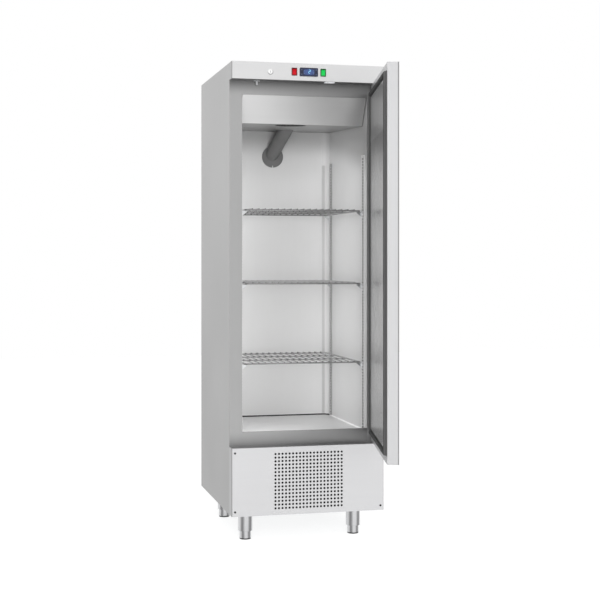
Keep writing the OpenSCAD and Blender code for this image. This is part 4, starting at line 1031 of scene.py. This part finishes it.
class CABINET_OT_legs(bpy.types.Operator):
    """Makes the four sleeves and the four feet with their soles as turned parts"""

    bl_idname = "cabinet.legs"
    bl_label = "Legs and feet"

    def execute(self, context):
        steel = bpy.data.materials["leg_steel"]
        rubber = bpy.data.materials["black_moulding"]
        low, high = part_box("leg_sleeves")
        feet = {name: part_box(name) for name in FEET}
        centres = {name: (box[0] + box[1]) / 2 for name, box in feet.items()}
        outer = high.x - centres["front_right_foot"].x
        inner = (feet["front_right_foot"][1].x - feet["front_right_foot"][0].x) / 2
        bore, cap, turns = inner + 0.001, 0.003, 72
        sleeve = [
            (0, high.z), (outer - 0.0004, high.z), (outer, high.z - 0.0004), (outer, low.z + 0.0016),
            (outer - 0.0003, low.z + 0.0007), (outer - 0.001, low.z + 0.0002), (outer - 0.0018, low.z),
            (bore + 0.0012, low.z), (bore, low.z + 0.001), (bore, high.z - cap), (0, high.z - cap)
        ]
        spots = np.array([(c.x, c.y, 0) for c in centres.values()])
        points, faces = copies(*lathe(sleeve, turns), spots)
        sleeves = make_piece("leg_tubes", points, [faces], steel, "cabinet", ["leg_sleeves"])
        mark_turn(sleeves, spots)
        for name, box in feet.items():
            top, r = box[1].z, inner
            tube = [
                (0, top), (r - 0.001, top), (r, top - 0.001), (r, SOLE + 0.004), (r - 0.0004, SOLE + 0.0032),
                (r - 0.0004, SOLE + 0.0024), (r, SOLE + 0.0016), (r, SOLE + 0.0006), (r - 0.0006, SOLE),
                (0, SOLE)
            ]
            pad = [
                (0, SOLE), (r - 0.0008, SOLE), (r - 0.0005, SOLE - 0.0004), (r - 0.0005, 0.0016),
                (r - 0.0009, 0.0006), (r - 0.002, 0), (0, 0)
            ]
            spot = np.array([(centres[name].x, centres[name].y, 0)])
            points, faces = copies(*lathe(tube, turns), spot)
            body = "foot_" + name[:-len("_foot")]
            piece = make_piece(name + "_tube", points, [faces], steel, body, [name])
            mark_turn(piece, spot)
            points, faces = copies(*lathe(pad, turns), spot)
            make_piece(name + "_sole", points, [faces], rubber, body)
        return {"FINISHED"}


class CABINET_OT_floor_beads(bpy.types.Operator):
    """Runs a dark sealing bead, which also stands in for the shade in the joint, along the rear of the
    compartment's floor, and pale beads of painted highlight along its sides
    """

    bl_idname = "cabinet.floor_beads"
    bl_label = "Floor beads"

    def execute(self, context):
        low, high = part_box("inner_liner")
        left, right, back, floor = low.x + SHEET, high.x - SHEET, high.y - SHEET, low.z + SHEET
        r = context.scene.cabinet_trim.bead
        angle = np.linspace(0, np.pi / 2, 7)
        hollow = r * (1 - np.stack([np.sin(angle), np.cos(angle)], 1))
        hollow = np.concatenate([[[-SUNK, -SUNK], [-SUNK, r]], hollow[::-1], [[r, -SUNK]]])
        bends = 9
        turn = np.concatenate([np.linspace(np.pi, np.pi / 2, bends), np.linspace(np.pi / 2, 0, bends)])
        out = np.stack([np.cos(turn), np.sin(turn)], 1)
        middles = np.repeat([[left + COVE, back - COVE], [right - COVE, back - COVE]], bends, 0)
        # Dark sealant, which also stands in for the shade in the joint between the floor and the rear wall.
        dark = soft_rubber("bead_sealant_and_shade", SEALANT_AND_SHADE)
        points, faces = wall_sweep(middles + out * COVE, -out, floor, hollow)
        make_piece("floor_rear_bead", points, faces, dark, "cabinet")
        # Painted highlight: pale beads where the floor's side bends catch the light.
        painted_highlight = moulded_plastic("painted_highlight_bead", PAINTED_HIGHLIGHT_TONE, rough=0.4)
        for name, x, inward in (("floor_left_bead", left, 1), ("floor_right_bead", right, -1)):
            run = np.array([[x, low.y + SHEET], [x, back - COVE]])
            points, faces = wall_sweep(run, np.array([[inward, 0]] * 2), floor, hollow)
            make_piece(name, points, faces, painted_highlight, "cabinet")
        return {"FINISHED"}


class CABINET_OT_rear_louvres(bpy.types.Operator):
    """Presses a hood over each slot of the rear grille"""

    bl_idname = "cabinet.rear_louvres"
    bl_label = "Rear louvres"

    def execute(self, context):
        depth = context.scene.cabinet_trim.hood_depth
        low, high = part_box("rear_grille")
        middle = (low.x + high.x) / 2
        points, faces = hood_surface(half=0.067, height=0.011, depth=depth, columns=33, rows=9)
        across, up, first = 0.15, 0.02, low.z + 0.1012
        places = np.array([
            [middle + column * across, high.y, first + row * up] for column in (-1, 0, 1) for row in range(8)
        ])
        points, faces = copies(points, faces, places)
        zinc = bpy.data.materials["zinc_sheet"]
        hoods = make_piece("rear_louvres", points, [faces], zinc, "cabinet")
        wall = hoods.modifiers.new("wall", "SOLIDIFY")
        wall.thickness = 0.0008
        wall.offset = -1
        return {"FINISHED"}


class CABINET_OT_stage(bpy.types.Operator):
    """Sets the floor, the surroundings, the lamps and the camera"""

    bl_idname = "cabinet.stage"
    bl_label = "Stage"

    def execute(self, context):
        studio = context.scene.cabinet_studio
        scene = context.scene
        scene.view_settings.view_transform = "Standard"

        half = 9.0
        corners = [(x * half, y * half, 0) for x, y in ((-1, -1), (1, -1), (1, 1), (-1, 1))]
        mesh = bpy.data.meshes.new("floor")
        mesh.from_pydata(corners, [], [(0, 1, 2, 3)])
        floor = bpy.data.objects.new("floor", mesh)
        scene.collection.objects.link(floor)
        paint = Finish(bpy.data.materials.new("floor_paint"))
        speck = paint.noise(3.0)
        seen = seen_directly(paint)
        matt = paint.node("ShaderNodeBsdfDiffuse", links={"Color": paint.mix(speck, (0.5,) * 3, (0.52,) * 3)})
        glow = paint.node("ShaderNodeEmission", links={"Color": WHITE, "Strength": studio.floor_lift})
        lifted = paint.node("ShaderNodeAddShader", links={0: matt, 1: glow})
        shown = paint.node("ShaderNodeMixShader", links={0: seen, 1: matt, 2: lifted})
        paint.node("ShaderNodeOutputMaterial", links={"Surface": shown})
        mesh.materials.append(paint.owner)

        world = bpy.data.worlds.new("studio")
        scene.world = world
        air = Finish(world)
        seen = seen_directly(air)
        light = air.node("ShaderNodeBackground", links={"Color": WHITE, "Strength": studio.ambient})
        white = air.node("ShaderNodeBackground", links={"Color": WHITE, "Strength": 1.0})
        shown = air.node("ShaderNodeMixShader", links={0: seen, 1: light, 2: white})
        air.node("ShaderNodeOutputWorld", links={"Surface": shown})

        low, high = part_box("front_frame")
        opening = (low.x + 0.2, high.y + 0.01, 0.985)
        middle, inwards = (0, 0, 0.95), (opening[0] + 0.25, 1, opening[2])
        wide, slim = (studio.lamp_size, studio.lamp_size), (0.28, 1.07)
        for name, power, place, aim, size in (
            ("key", studio.key_power, (2.2, -4.4, 3.6), middle, wide),
            ("fill", studio.fill_power, (-1.4, -5.4, 1.3), middle, wide),
            ("compartment", studio.inside_power, opening, inwards, slim)
        ):
            lamp = bpy.data.lights.new(name, "AREA")
            lamp.shape = "RECTANGLE"
            lamp.size, lamp.size_y = size
            lamp.energy = power
            box = bpy.data.objects.new(name, lamp)
            box.location = place
            box.rotation_euler = (Vector(aim) - box.location).to_track_quat("-Z", "Y").to_euler()
            box.visible_camera = False
            box.visible_glossy = False
            scene.collection.objects.link(box)

        eye = bpy.data.cameras.new("camera")
        eye.sensor_width = 36
        eye.lens = studio.lens
        eye.shift_x, eye.shift_y = 0.00119, -0.0647
        eye.clip_end = 100
        camera = bpy.data.objects.new("camera", eye)
        camera.location = studio.camera_place
        camera.rotation_euler = (math.pi / 2, 0, studio.camera_turn)
        scene.collection.objects.link(camera)
        scene.camera = camera
        return {"FINISHED"}


OPERATORS = (
    CABINET_OT_finishes, CABINET_OT_display_marks, CABINET_OT_screws, CABINET_OT_door_gasket, CABINET_OT_legs,
    CABINET_OT_floor_beads, CABINET_OT_rear_louvres, CABINET_OT_stage
)
GROUPS = {
    "cabinet_finishes": CabinetFinishes, "cabinet_trim": CabinetTrim, "cabinet_studio": CabinetStudio
}


class CABINET_PT_sidebar(bpy.types.Panel):
    """Lists the settings and the steps"""

    bl_label = "Refrigerated cabinet"
    bl_idname = "CABINET_PT_sidebar"
    bl_space_type = "VIEW_3D"
    bl_region_type = "UI"
    bl_category = "Cabinet"

    def draw(self, context):
        for group in GROUPS:
            box = self.layout.box()
            settings = getattr(context.scene, group)
            for name in settings.bl_rna.properties.keys():
                if name not in ("rna_type", "name"):
                    box.prop(settings, name)
        for operator in OPERATORS:
            self.layout.operator(operator.bl_idname)


def register():
    for added in (*GROUPS.values(), *OPERATORS, CABINET_PT_sidebar):
        bpy.utils.register_class(added)
    for name, group in GROUPS.items():
        setattr(bpy.types.Scene, name, PointerProperty(type=group))


def unregister():
    for name in GROUPS:
        delattr(bpy.types.Scene, name)
    for added in (CABINET_PT_sidebar, *OPERATORS[::-1], *GROUPS.values()):
        bpy.utils.unregister_class(added)


def main():
    register()
    for operator in OPERATORS:
        step = getattr(bpy.ops.cabinet, operator.bl_idname.split(".")[1])
        if step() != {"FINISHED"}:
            raise RuntimeError(f"{operator.bl_label} didn't finish")


if __name__ == "__main__":
    main()
